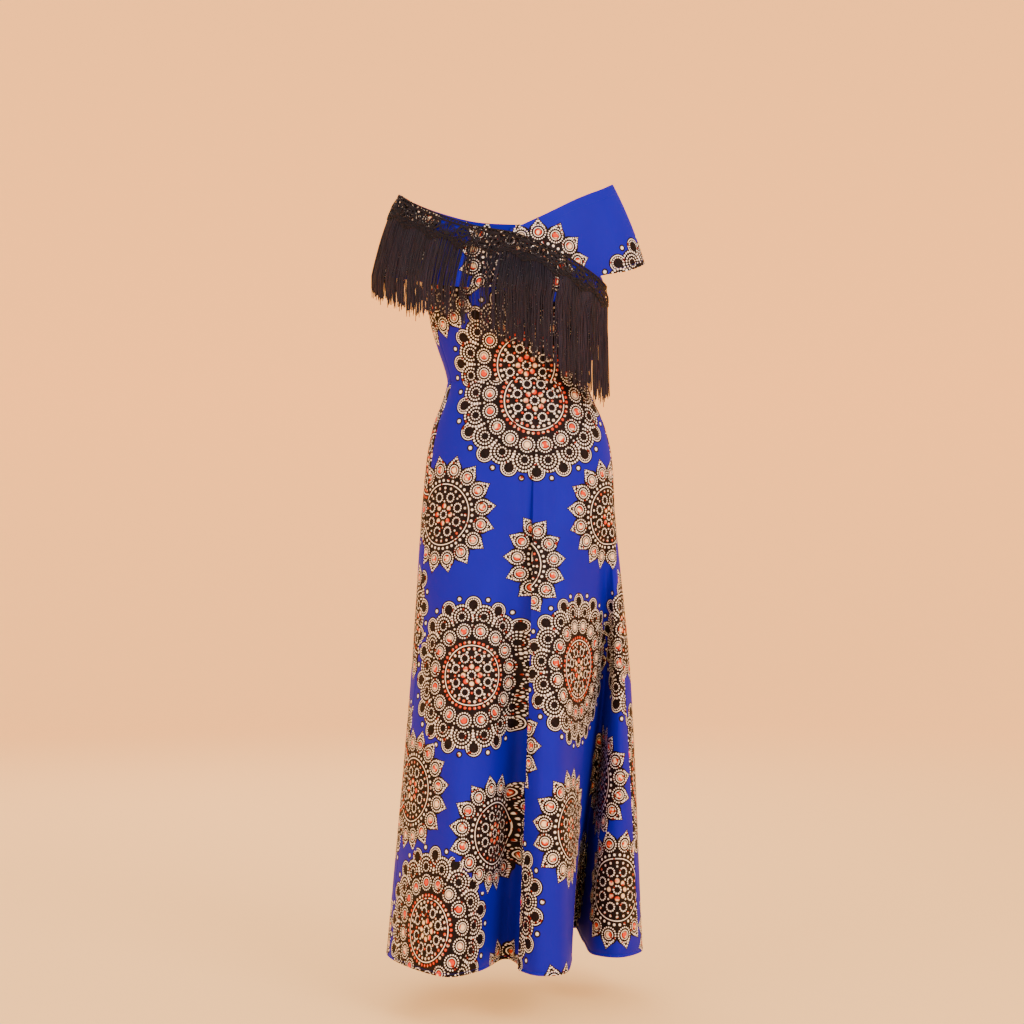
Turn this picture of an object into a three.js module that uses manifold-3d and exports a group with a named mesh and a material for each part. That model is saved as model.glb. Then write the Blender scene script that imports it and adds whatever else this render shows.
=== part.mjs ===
// An off-the-shoulder maxi dress of wax-print cotton with a lace and fringe trim, in its worn shape.
// Millimetres, +Z up. The front faces -Y, and +X is the wearer's left.
// The origin is on the body's axis, level with the underarms, where the fitted bodice holds the dress up.

import * as THREE from "three";
import { mergeVertices } from "three/addons/utils/BufferGeometryUtils.js";
import Module from "manifold-3d";

// Driving dimensions

const CLOTH = 1.2; // a cotton wall
const SEAM_GAP = 0.4; // between two pieces that are sewn together
const LAYER_GAP = 1.3; // between two layers that lie on each other
const BAND_CLEARANCE = 2.2; // under a band, which bridges the curves of what it lies on
const WAIST_Z = -173;
const HIGH_HIP_Z = -300;
const HIP_Z = -400;
const KNEE_Z = -700;
const HEM_Z = -1172;
const BUST_Z = -22;
const BUST_HALF_SPAN = 62; // from the middle to a cup's fullest point
const CUP_DEPTH = 14;
const CUP_SOFTNESS = 44; // how far a cup takes to fade into the bodice
const CLEAVAGE_DIP = 3;
const FRONT_TOP_Z = 38; // the bodice's top edge at the middle, under the bands
const BACK_TOP_Z = 38;
const FRONT_TOP_RISE = { from: 0.2, to: 0.7 }; // by the cosine of the angle from the middle
const BACK_TOP_RISE = { from: 0.1, to: 0.55 };
const RIGHT_SEAM = -70; // the side seams, in degrees from the front towards the wearer's left
const LEFT_SEAM = 80;

const TRIM_START = 9; // the trim begins this far from the back seam
const LACE_REPEAT = 50;
const LACE_DEPTH = 36; // from the neckline edge to the hollows between the pendants
const PENDANT = 13; // how far a pendant hangs below that
const LACE_THICKNESS = 1;
const LACE_RISE = 3.2; // how much further it stands off over the fringe
const LACE_RISES = { from: 6, to: 24 }; // down from the edge
const PENDANT_SPREAD = 0.74; // of half a repeat
const PENDANT_ROUND = 0.7;
const TAPE_TOP = 28; // the fringe's tape, measured down from the neckline edge
const TAPE_BOTTOM = 36;
const TAPE_THICKNESS = 1.2;
const STRANDS = 93;
const STRAND_RADIUS = 0.85;
const ROOT_DEPTH = 4; // how far up the tape a strand starts
const STRAND_TURNS = [90, 330, 210]; // its three sides, the first one outwards
const LEAST_STRIDE = 4; // between two bends of a strand
const STRAND_LIFT = 2.5; // a strand's middle above the band

const ZIP_TOP_Z = 106;
const ZIP_HEAD = 6; // the tape above the pin
const ZIP_END_Z = -330;
const ZIP_WIDTH = 22;
const ZIP_TAPE = 1;
const ZIP_ROWS = 18;
const TAPE_CLEARANCE = 1.8; // inside the cloth
const TAB_LENGTH = 26;
const TAB_WIDTH = 6;
const TAB_THICKNESS = 1.4;
const TAB_NECK = 4; // where the tab starts to widen, under its pin
const TAB_SHOULDER = 9; // and where it is full width
const SLIDER = { width: 7, height: 11, plate: 1.4, cheek: 1.2 };
const SLIDER_LIFT = 1; // off the cloth
const PIN_RADIUS = 0.9; // the slider's pin, which the tab swings on
const BARREL_RADIUS = 2.2;
const RUNNING_GAP = 0.4;
const EYE_RADIUS = 1.3; // the hole in the tab

// The figure's sections, from the shoulders to the hips:
// half width, depth to the front and to the back, sideways shift
const FIGURE = [
  { z: 190, halfWidth: 150, front: 62, back: 84, shift: 0 },
  { z: 110, halfWidth: 158, front: 88, back: 94, shift: 0 },
  { z: 50, halfWidth: 161, front: 101, back: 98, shift: 0 },
  { z: 0, halfWidth: 158, front: 110, back: 98, shift: 0 },
  { z: -70, halfWidth: 150, front: 103, back: 90, shift: 0 },
  { z: -114, halfWidth: 138, front: 95, back: 83, shift: 1 },
  { z: -150, halfWidth: 127, front: 89, back: 79, shift: 2 },
  { z: -173, halfWidth: 123, front: 88, back: 78, shift: 2 },
  { z: -209, halfWidth: 135, front: 96, back: 87, shift: 4 },
  { z: -243, halfWidth: 149, front: 104, back: 97, shift: 5 },
  { z: -300, halfWidth: 162, front: 113, back: 110, shift: 6 },
  { z: -400, halfWidth: 170, front: 125, back: 122, shift: 4 },
];

// The skirt's folds, from the middle of the front towards the wearer's left and round:
// where each line leaves the hips, in degrees, its place in plan at the knee and at the hem,
// and how far the hem rises there
const FOLDS = [
  { fold: "middle ridge foot", at: 8, kneeX: 23, kneeY: -146, hemX: 4, hemY: -152, rise: 0 },
  { fold: "middle ridge", at: 15, kneeX: 46, kneeY: -170, hemX: 38, hemY: -208, rise: 0 },
  { fold: "middle ridge edge", at: 24, kneeX: 72, kneeY: -166, hemX: 76, hemY: -198, rise: 0 },
  { fold: "middle flank", at: 38, kneeX: 112, kneeY: -92, hemX: 95, hemY: -92, rise: 0 },
  { fold: "deep valley front", at: 52, kneeX: 138, kneeY: -30, hemX: 96, hemY: 50, rise: 6 },
  { fold: "deep valley", at: 62, kneeX: 156, kneeY: 28, hemX: 108, hemY: 182, rise: 12 },
  { fold: "deep valley back", at: 67, kneeX: 164, kneeY: -2, hemX: 121, hemY: 55, rise: 6 },
  { fold: "left ridge corner", at: 71, kneeX: 171, kneeY: -34, hemX: 136, hemY: -28, rise: 0 },
  { fold: "left ridge", at: 75, kneeX: 181, kneeY: -42, hemX: 177, hemY: -54, rise: 0 },
  { fold: "left seam", at: 80, kneeX: 191, kneeY: -26, hemX: 217, hemY: -8, rise: 0 },
  { fold: "left side", at: 92, kneeX: 203, kneeY: 18, hemX: 224, hemY: 58, rise: 0 },
  { fold: "left back", at: 112, kneeX: 180, kneeY: 90, hemX: 206, hemY: 150, rise: 0 },
  { fold: "back left ridge", at: 131, kneeX: 136, kneeY: 148, hemX: 158, hemY: 238, rise: 0 },
  { fold: "back left valley", at: 146, kneeX: 92, kneeY: 142, hemX: 88, hemY: 228, rise: 0 },
  { fold: "back middle ridge", at: 162, kneeX: 45, kneeY: 168, hemX: 34, hemY: 276, rise: 0 },
  { fold: "back seam", at: 180, kneeX: 0, kneeY: 142, hemX: -12, hemY: 222, rise: 0 },
  { fold: "back ridge", at: 197, kneeX: -48, kneeY: 168, hemX: -64, hemY: 272, rise: 0 },
  { fold: "back right valley", at: 213, kneeX: -95, kneeY: 138, hemX: -118, hemY: 212, rise: 0 },
  { fold: "back right ridge", at: 229, kneeX: -138, kneeY: 142, hemX: -172, hemY: 226, rise: 0 },
  { fold: "right back", at: 250, kneeX: -174, kneeY: 80, hemX: -212, hemY: 120, rise: 0 },
  { fold: "right side", at: 272, kneeX: -186, kneeY: 14, hemX: -227, hemY: 24, rise: 0 },
  { fold: "right seam", at: 290, kneeX: -176, kneeY: -54, hemX: -222, hemY: -42, rise: 0 },
  { fold: "right ridge outer", at: 308, kneeX: -140, kneeY: -116, hemX: -174, hemY: -150, rise: 0 },
  { fold: "right ridge", at: 326, kneeX: -90, kneeY: -150, hemX: -112, hemY: -220, rise: 0 },
  { fold: "right ridge inner", at: 343, kneeX: -38, kneeY: -146, hemX: -60, hemY: -168, rise: 0 },
  { fold: "front valley", at: 358, kneeX: 5, kneeY: -116, hemX: -18, hemY: -68, rise: 0 },
];
const LEFT_SEAM_FOLD = 9;
const BACK_SEAM_FOLD = 15;
const RIGHT_SEAM_FOLD = 21;
const COLUMNS_PER_FOLD = 3;
const SKIRT_ROWS = [0, -22, -60, -115, -172, -227, -300, -390, -500, -620, -750, -880, -999];

// The bands, from the back seam round an arm to the front: the neckline edge and the lower edge, in space
const RIGHT_BAND = [
  { at: "back seam", topX: -0.3, topY: 93, topZ: 118, lowX: -0.3, lowY: 97, lowZ: 38.6 },
  { at: "back", topX: -70, topY: 84, topZ: 121, lowX: -72, lowY: 87, lowZ: 38.6 },
  { at: "shoulder blade", topX: -130, topY: 62, topZ: 133, lowX: -128, lowY: 66, lowZ: 38.6 },
  { at: "behind the arm", topX: -178, topY: 36, topZ: 148, lowX: -200, lowY: 58, lowZ: 26 },
  { at: "outside the arm", topX: -204, topY: -2, topZ: 159, lowX: -250, lowY: 2, lowZ: 17 },
  { at: "before the arm", topX: -181, topY: -42, topZ: 140, lowX: -220, lowY: -58, lowZ: 8 },
  { at: "shoulder", topX: -130, topY: -74, topZ: 115, lowX: -160, lowY: -90, lowZ: -4 },
  { at: "chest", topX: -68, topY: -92, topZ: 93, lowX: -95, lowY: -110, lowZ: -14 },
  { at: "middle", topX: 2, topY: -98, topZ: 79, lowX: -10, lowY: -116, lowZ: -18 },
  { at: "left chest", topX: 75, topY: -92, topZ: 45, lowX: 70, lowY: -108, lowZ: -42 },
  { at: "left bust", topX: 122, topY: -76, topZ: 20, lowX: 118, lowY: -86, lowZ: -60 },
  { at: "before the side", topX: 143, topY: -54, topZ: 6, lowX: 139, lowY: -58, lowZ: -70 },
  { at: "left side", topX: 154, topY: -26, topZ: -5, lowX: 151, lowY: -24, lowZ: -76 },
];
const LEFT_BAND = [
  { at: "back seam", topX: 0.3, topY: 93, topZ: 118, lowX: 0.3, lowY: 97, lowZ: 38.6 },
  { at: "back", topX: 70, topY: 84, topZ: 122, lowX: 72, lowY: 87, lowZ: 38.6 },
  { at: "shoulder blade", topX: 126, topY: 62, topZ: 138, lowX: 128, lowY: 66, lowZ: 38.6 },
  { at: "behind the arm", topX: 158, topY: 36, topZ: 160, lowX: 188, lowY: 56, lowZ: 44 },
  { at: "outside the arm", topX: 171, topY: 0, topZ: 176, lowX: 227, lowY: 2, lowZ: 38 },
  { at: "before the arm", topX: 150, topY: -42, topZ: 163, lowX: 194, lowY: -42, lowZ: 20 },
  { at: "shoulder", topX: 108, topY: -74, topZ: 143, lowX: 148, lowY: -52, lowZ: 11 },
  { at: "chest", topX: 52, topY: -92, topZ: 114, lowX: 95, lowY: -98, lowZ: -12 },
  { at: "middle", topX: -8, topY: -97, topZ: 85, lowX: 25, lowY: -112, lowZ: -24 },
  { at: "tucked end", topX: -40, topY: -96, topZ: 66, lowX: -24, lowY: -112, lowZ: -14 },
];
const BAND_COLUMNS = 4; // between two rows of those tables
const BAND_ROWS = 4;
const BAND_BULGE = 4; // how far a band's middle stands out between its edges
const BULGE_SIDEWAYS = 0.7;
const CROSSING_START = 5.4; // the row of the left band's table from which the right one may cover it
const CROSSING_STEP = 0.1;
const OVERLAP_START = 6; // the row of the right band's table from which it covers the left one
const OVERLAP_REACH = 40; // past the covered cloth, where the right band comes back
const OVERLAP_FULL = 18;
const BACK_ROWS = 2; // of those tables, where a band is the back's own top

// The fringe's hanging length along the trim, from the back seam to the left side
const FRINGE = [
  { along: 0, length: 128 },
  { along: 250, length: 128 },
  { along: 400, length: 116 },
  { along: 470, length: 120 },
  { along: 540, length: 134 },
  { along: 620, length: 150 },
  { along: 690, length: 170 },
];

// The lace's cells in one repeat: where their columns begin along it, and their rows down from the edge
const LACE_COLUMNS = [0, 5, 16, 25, 34, 45, LACE_REPEAT];
const LACE_ROWS = [0, 17.2, 26.5];

// The open places of one repeat: the cell each is in, its middle along and down, and its half sizes
const LACE_GAPS = [
  { column: 2, row: 0, along: 20.6, down: 13, halfAlong: 2.3, halfDown: 2.3 },
  { column: 3, row: 0, along: 29.4, down: 13, halfAlong: 2.3, halfDown: 2.3 },
  { column: 2, row: 1, along: 20.6, down: 21.4, halfAlong: 2.3, halfDown: 2.3 },
  { column: 3, row: 1, along: 29.4, down: 21.4, halfAlong: 2.3, halfDown: 2.3 },
  { column: 1, row: 0, along: 10.5, down: 11, halfAlong: 2.8, halfDown: 4 },
  { column: 4, row: 0, along: 39.5, down: 11, halfAlong: 2.8, halfDown: 4 },
  { column: 2, row: 2, along: 20.2, down: 32, halfAlong: 3.4, halfDown: 2.6 },
  { column: 3, row: 2, along: 29.8, down: 32, halfAlong: 3.4, halfDown: 2.6 },
];
const GAP_SIDES = 5;
const PROBE = 1e-3; // the step for a slope

// A belt loop's cord, from its upper foot to its lower one: above the waist, and out from the cloth
const LOOP_CORD = 1.6;
const LOOP = [
  { up: 5, lift: 1.8 },
  { up: 4, lift: 3.6 },
  { up: -1.5, lift: 5.4 },
  { up: -7, lift: 3.9 },
  { up: -8, lift: 2 },
];

const radians = (degrees) => (degrees * Math.PI) / 180;
const clamp = (value, low, high) => Math.min(Math.max(value, low), high);
const mix = (a, b, share) => a + (b - a) * share;
const smooth = (share) => {
  const t = clamp(share, 0, 1);
  return t * t * (3 - 2 * t);
};

// From 0 to 1 between two limits, smoothly.
const rising = (value, { from, to }) => smooth((value - from) / (to - from));

// One column of a table at a value of its key: a cubic through its rows.
function read(table, value, column, key = "z") {
  const last = table.length - 1;
  const down = table[last][key] < table[0][key] ? -1 : 1;
  let i = 0;
  while (i < last - 1 && (value - table[i + 1][key]) * down > 0) i += 1;
  const slope = (k) => {
    const a = table[Math.max(k - 1, 0)];
    const b = table[Math.min(k + 1, last)];
    return (b[column] - a[column]) / (b[key] - a[key]);
  };
  const step = table[i + 1][key] - table[i][key];
  const t = clamp((value - table[i][key]) / step, 0, 1);
  return (
    mix(table[i][column], table[i + 1][column], smooth(t)) +
    slope(i) * step * t * (1 - t) * (1 - t) -
    slope(i + 1) * step * t * t * (1 - t)
  );
}

// The figure

// How far the bust cups push the cloth forward: it bridges the space between them.
function cup(x, z) {
  const beyond = Math.max(Math.abs(x) - BUST_HALF_SPAN, 0) / CUP_SOFTNESS;
  const above = (z - BUST_Z) / CUP_SOFTNESS;
  const between = CLEAVAGE_DIP * Math.max(1 - Math.abs(x) / BUST_HALF_SPAN, 0);
  return (CUP_DEPTH - between) * Math.exp(-beyond * beyond - above * above);
}

// The dress's outer surface on the figure, at an angle from the front and a height.
function body(angle, z, lift = 0) {
  const forward = Math.cos(angle) > 0;
  const depth = read(FIGURE, z, forward ? "front" : "back") + lift;
  const side = (read(FIGURE, z, "halfWidth") + lift) * Math.sin(angle);
  const y = -depth * Math.cos(angle) - (forward ? cup(side, z) * Math.cos(angle) : 0);
  return new THREE.Vector3(read(FIGURE, z, "shift") + side, y, z);
}

// Moves a point outwards, where it must, until it is a lift clear of the figure.
function clearOfFigure(point, lift) {
  const shift = read(FIGURE, point.z, "shift");
  const forward = point.y < 0;
  const depth = read(FIGURE, point.z, forward ? "front" : "back");
  const halfWidth = read(FIGURE, point.z, "halfWidth");
  let angle = Math.atan2((point.x - shift) / halfWidth, -point.y / depth);
  const reach = Math.hypot(point.x - shift, point.y);
  let surface = body(angle, point.z, lift);
  for (let pass = 0; pass < 3; pass += 1) {
    const wanted = Math.atan2(point.x - shift, -point.y);
    const found = Math.atan2(surface.x - shift, -surface.y);
    angle += wanted - found;
    surface = body(angle, point.z, lift);
  }
  const least = Math.hypot(surface.x - shift, surface.y);
  if (reach >= least) return point;
  return new THREE.Vector3(shift + ((point.x - shift) * least) / reach, (point.y * least) / reach, point.z);
}

// Curves

// A smooth curve through four neighbours, between the middle two, that never overshoots uneven spacing.
function throughFour(a, b, c, d, t) {
  const gap = (p, q) => Math.max(Math.sqrt(p.distanceTo(q)), 1e-3);
  const before = gap(a, b);
  const here = gap(b, c);
  const after = gap(c, d);
  const tangent = (p, q, r, first, second) =>
    q.clone().sub(p).divideScalar(first)
      .sub(r.clone().sub(p).divideScalar(first + second))
      .add(r.clone().sub(q).divideScalar(second))
      .multiplyScalar(here);
  const start = tangent(a, b, c, before, here);
  const end = tangent(b, c, d, here, after);
  const s = t * t * (3 - 2 * t);
  return b.clone().lerp(c, s)
    .addScaledVector(start, t * (1 - t) * (1 - t))
    .addScaledVector(end, -t * t * (1 - t));
}

// Walls

// The outward normal at a place in a grid of points.
// Its rows run down and its columns towards the wearer's left.
function normalAt(grid, i, j) {
  const down = grid[Math.min(i + 1, grid.length - 1)][j].clone().sub(grid[Math.max(i - 1, 0)][j]);
  const along = grid[i][Math.min(j + 1, grid[i].length - 1)].clone().sub(grid[i][Math.max(j - 1, 0)]);
  return down.cross(along).normalize();
}

// The same for a surface given as a function of a place along it and a height.
function normalOf(surface, along, z) {
  const down = surface(along, z - PROBE).sub(surface(along, z + PROBE));
  const ahead = surface(along + PROBE, z).sub(surface(along - PROBE, z));
  return down.cross(ahead).normalize();
}

// A closed wall from triangles between corners, each of which has an outer and an inner point.
function thicken(outer, inner, triangles) {
  const faces = [];
  const edges = new Set();
  for (const [a, b, c] of triangles) {
    faces.push(outer[a], outer[b], outer[c], inner[a], inner[c], inner[b]);
    for (const [from, to] of [[a, b], [b, c], [c, a]]) edges.add(`${from} ${to}`);
  }
  // An edge with a triangle on one side only is a rim, which a strip closes.
  for (const edge of edges) {
    const [from, to] = edge.split(" ").map(Number);
    if (edges.has(`${to} ${from}`)) continue;
    faces.push(outer[to], outer[from], inner[from], outer[to], inner[from], inner[to]);
  }
  return geometryOf(faces);
}

// A closed wall whose outer face is a grid, with its inner face a thickness behind.
function wall(grid, thickness, normal = (i, j) => normalAt(grid, i, j)) {
  const columns = grid[0].length;
  const inner = grid.map((row, i) =>
    row.map((point, j) => point.clone().addScaledVector(normal(i, j), -thickness)),
  );
  const triangles = [];
  for (let i = 0; i + 1 < grid.length; i += 1)
    for (let j = 0; j + 1 < columns; j += 1) {
      const corner = i * columns + j;
      triangles.push([corner, corner + columns, corner + columns + 1]);
      triangles.push([corner, corner + columns + 1, corner + 1]);
    }
  return thicken(grid.flat(), inner.flat(), triangles);
}

function geometryOf(points) {
  const geometry = new THREE.BufferGeometry().setFromPoints(points);
  return mergeVertices(geometry, 1e-3);
}

// Bodice

// A bodice panel between two seams, from its top edge to the waist.
function bodicePanel(from, to, columns, rows, topAt) {
  const seam = SEAM_GAP / 2 / read(FIGURE, WAIST_Z, "halfWidth");
  const start = radians(from) + seam;
  const end = radians(to) - seam;
  const angleAt = (j) => mix(start, end, j / columns);
  const heightAt = (i, j) => mix(topAt(angleAt(j)), WAIST_Z, i / rows);
  const grid = [];
  for (let i = 0; i <= rows; i += 1) {
    const row = [];
    for (let j = 0; j <= columns; j += 1) row.push(body(angleAt(j), heightAt(i, j)));
    grid.push(row);
  }
  return wall(grid, CLOTH, (i, j) => normalOf(body, angleAt(j), heightAt(i, j)));
}

// The bodice's top edge: level with the underarm at the sides, and higher in the middle.
const frontTop = (angle) => FRONT_TOP_Z * rising(Math.cos(angle), FRONT_TOP_RISE);
const backTop = (angle) => BACK_TOP_Z * rising(-Math.cos(angle), BACK_TOP_RISE);

// Skirt

// A fold line's place in plan at a height under the hips.
function foldLine(fold, z) {
  const hip = body(radians(fold.at), HIP_Z);
  const above = body(radians(fold.at), HIGH_HIP_Z);
  const table = [
    { z: HIGH_HIP_Z, x: above.x, y: above.y },
    { z: HIP_Z, x: hip.x, y: hip.y },
    { z: KNEE_Z, x: fold.kneeX, y: fold.kneeY },
    { z: HEM_Z, x: fold.hemX, y: fold.hemY },
  ];
  return new THREE.Vector3(read(table, z, "x"), read(table, z, "y"), z);
}

// The skirt's surface at a place along the folds, counted from the first line of the table, and a height.
function skirt(along, z) {
  const count = FOLDS.length;
  const first = Math.floor(along);
  const share = along - first;
  const pick = (k) => FOLDS[(((first + k) % count) + count) % count];
  const turned = (k) => pick(k).at + 360 * Math.floor((first + k) / count);
  const angle = radians(mix(turned(0), turned(1), share));
  if (z >= HIP_Z) return body(angle, z);
  const curve = (height) => throughFour(...[-1, 0, 1, 2].map((k) => foldLine(pick(k), height)), share);
  const point = curve(z);
  const keep = 1 - smooth((HIP_Z - z) / (HIP_Z - KNEE_Z));
  point.addScaledVector(body(angle, HIP_Z).sub(curve(HIP_Z)), keep);
  const low = (HIP_Z - z) / (HIP_Z - HEM_Z);
  point.z += mix(pick(0).rise, pick(1).rise, smooth(share)) * low * low;
  return point;
}

// A skirt panel between two seams, which are lines of the folds table.
function skirtPanel(from, to) {
  const columns = (to - from) * COLUMNS_PER_FOLD;
  const alongAt = (j) => from + j / COLUMNS_PER_FOLD;
  const heightAt = (i) => Math.max(WAIST_Z - SEAM_GAP + SKIRT_ROWS[i], HEM_Z);
  const grid = SKIRT_ROWS.map((_, i) => {
    const row = [];
    for (let j = 0; j <= columns; j += 1) row.push(skirt(alongAt(j), heightAt(i)));
    // The panel stops short of its seams.
    const [second, beforeLast] = [row[1], row[columns - 1]];
    row[0].addScaledVector(second.clone().sub(row[0]).normalize(), SEAM_GAP / 2);
    row[columns].addScaledVector(beforeLast.clone().sub(row[columns]).normalize(), SEAM_GAP / 2);
    return row;
  });
  return wall(grid, CLOTH, (i, j) => normalOf(skirt, alongAt(j), heightAt(i)));
}

// Bands

// A band of a table: its surface by a share along it and a distance down from its neckline edge.
function bandOf(table, turn, settle) {
  const top = table.map((row) => new THREE.Vector3(row.topX, row.topY, row.topZ));
  const low = table.map((row) => new THREE.Vector3(row.lowX, row.lowY, row.lowZ));
  const last = table.length - 1;
  const along = (points, u) => {
    const i = clamp(Math.floor(u), 0, last - 1);
    const pick = (k) => points[clamp(k, 0, last)];
    const end = (k) => {
      if (k >= 0 && k <= last) return points[k];
      const edge = clamp(k, 0, last);
      return points[edge].clone().multiplyScalar(2).sub(pick(edge + Math.sign(edge - k)));
    };
    return throughFour(end(i - 1), points[i], points[i + 1], end(i + 2), u - i);
  };
  // The outer surface, at u along the table and a share t of the way down.
  const surface = (u, t) => {
    const a = along(top, u);
    const b = along(low, u);
    const point = a.clone().lerp(b, t);
    const away = new THREE.Vector3(point.x * BULGE_SIDEWAYS, point.y, 0).normalize();
    point.addScaledVector(away, BAND_BULGE * 4 * t * (1 - t) * smooth(u));
    return settle(clearOfFigure(point, u < BACK_ROWS ? 0 : CLOTH + BAND_CLEARANCE), u);
  };
  const columns = last * BAND_COLUMNS;
  const grid = [];
  for (let i = 0; i <= BAND_ROWS; i += 1) {
    const row = [];
    for (let j = 0; j <= columns; j += 1) row.push(surface(j / BAND_COLUMNS, i / BAND_ROWS));
    grid.push(row);
  }
  const normals = grid.map((row, i) => row.map((_, j) => normalAt(grid, i, j).multiplyScalar(turn)));
  const reach = [0];
  for (let j = 1; j <= columns; j += 1) reach.push(reach[j - 1] + grid[0][j].distanceTo(grid[0][j - 1]));
  const columnAt = (s) => {
    const j = clamp(reach.findIndex((far) => far > s) - 1, 0, columns - 1);
    const first = s >= reach[columns] ? columns - 1 : j;
    return first + (s - reach[first]) / (reach[first + 1] - reach[first]);
  };
  // A value on the facet under a place: each cell of the grid has two, which meet on its diagonal.
  const between = (layer, column, row) => {
    const j = clamp(Math.floor(column), 0, columns - 1);
    const i = clamp(Math.floor(row), 0, BAND_ROWS - 1);
    const [across, down] = [column - j, row - i];
    const corner = layer[i][j];
    const far = layer[i + 1][j + 1];
    const turning = down > across ? layer[i + 1][j] : layer[i][j + 1];
    const [first, second] = down > across ? [down, across] : [across, down];
    return corner.clone()
      .addScaledVector(turning.clone().sub(corner), first)
      .addScaledVector(far.clone().sub(turning), second);
  };
  const widthAt = (s) => between(grid, columnAt(s), 0).distanceTo(between(grid, columnAt(s), BAND_ROWS));
  // A point on the wall, s along its neckline edge and d down from it, lifted off the cloth.
  const place = (s, d, lift) => {
    const column = columnAt(s);
    const row = (d / widthAt(s)) * BAND_ROWS;
    return between(grid, column, row).addScaledVector(between(normals, column, row).normalize(), lift);
  };
  return { surface, grid, place, widthAt, length: reach[columns] };
}

const bandPanel = (band, turn) => wall(band.grid.map((row) => (turn < 0 ? row.toReversed() : row)), CLOTH);

// Seen from outside, the right band's table runs to the right, and the left band's to the left.
const RIGHT_TURN = 1;
const LEFT_TURN = -1;
const leftBand = bandOf(LEFT_BAND, LEFT_TURN, (point) => point);

// The left band's outer face where the right one crosses it, as places and normals.
const crossed = [];
for (let u = CROSSING_START; u <= LEFT_BAND.length - 1; u += CROSSING_STEP)
  for (let t = 0; t <= 1; t += CROSSING_STEP / 2)
    crossed.push({
      point: leftBand.surface(u, t),
      normal: leftBand.surface(u, t + PROBE).sub(leftBand.surface(u, t))
        .cross(leftBand.surface(u + PROBE, t).sub(leftBand.surface(u, t)))
        .multiplyScalar(LEFT_TURN)
        .normalize(),
    });

// Moves a point of the right band forward, where it must, until it clears the left band under it.
function clearOfLeftBand(point) {
  const away = ({ point: on }) => Math.hypot(on.x - point.x, on.z - point.z);
  const nearest = crossed.reduce((best, place) => (away(place) < away(best) ? place : best));
  if (point.y > 0 || away(nearest) > OVERLAP_REACH) return point;
  const { point: on, normal } = nearest;
  const y = on.y - (normal.x * (point.x - on.x) + normal.z * (point.z - on.z)) / normal.y;
  const fade = smooth((OVERLAP_REACH - on.distanceTo(point)) / (OVERLAP_REACH - OVERLAP_FULL));
  const wanted = y - (CLOTH + BAND_CLEARANCE) / Math.abs(normal.y);
  return point.y <= wanted ? point : point.clone().setY(mix(point.y, wanted, fade));
}
const settleOnLeftBand = (point, u) => (u > OVERLAP_START ? clearOfLeftBand(point) : point);
const rightBand = bandOf(RIGHT_BAND, RIGHT_TURN, settleOnLeftBand);

// Trim

const wasm = await Module();
wasm.setup();

function solidOf(geometry) {
  const bare = geometry.clone();
  bare.deleteAttribute("normal");
  bare.deleteAttribute("uv");
  const merged = mergeVertices(bare, 1e-3);
  return new wasm.Manifold(
    new wasm.Mesh({
      numProp: 3,
      vertProperties: new Float32Array(merged.attributes.position.array),
      triVerts: new Uint32Array(merged.index.array),
    }),
  );
}

function geometryFrom(solid) {
  const mesh = solid.getMesh();
  const geometry = new THREE.BufferGeometry();
  geometry.setAttribute("position", new THREE.BufferAttribute(mesh.vertProperties, 3));
  geometry.setIndex(new THREE.BufferAttribute(mesh.triVerts, 1));
  return geometry;
}

// The lace stands further off the band where the fringe's tape and strands pass under it.
const laceLift = (d) => LAYER_GAP + LACE_THICKNESS + LACE_RISE * rising(d, LACE_RISES);

// The lace's lower edge: a pendant in the middle of each repeat.
function laceDepth(s) {
  const along = ((s % LACE_REPEAT) + LACE_REPEAT) % LACE_REPEAT;
  const off = Math.abs(along - LACE_REPEAT / 2) / (LACE_REPEAT / 2);
  return LACE_DEPTH + PENDANT * Math.max(1 - off / PENDANT_SPREAD, 0) ** PENDANT_ROUND;
}

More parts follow.
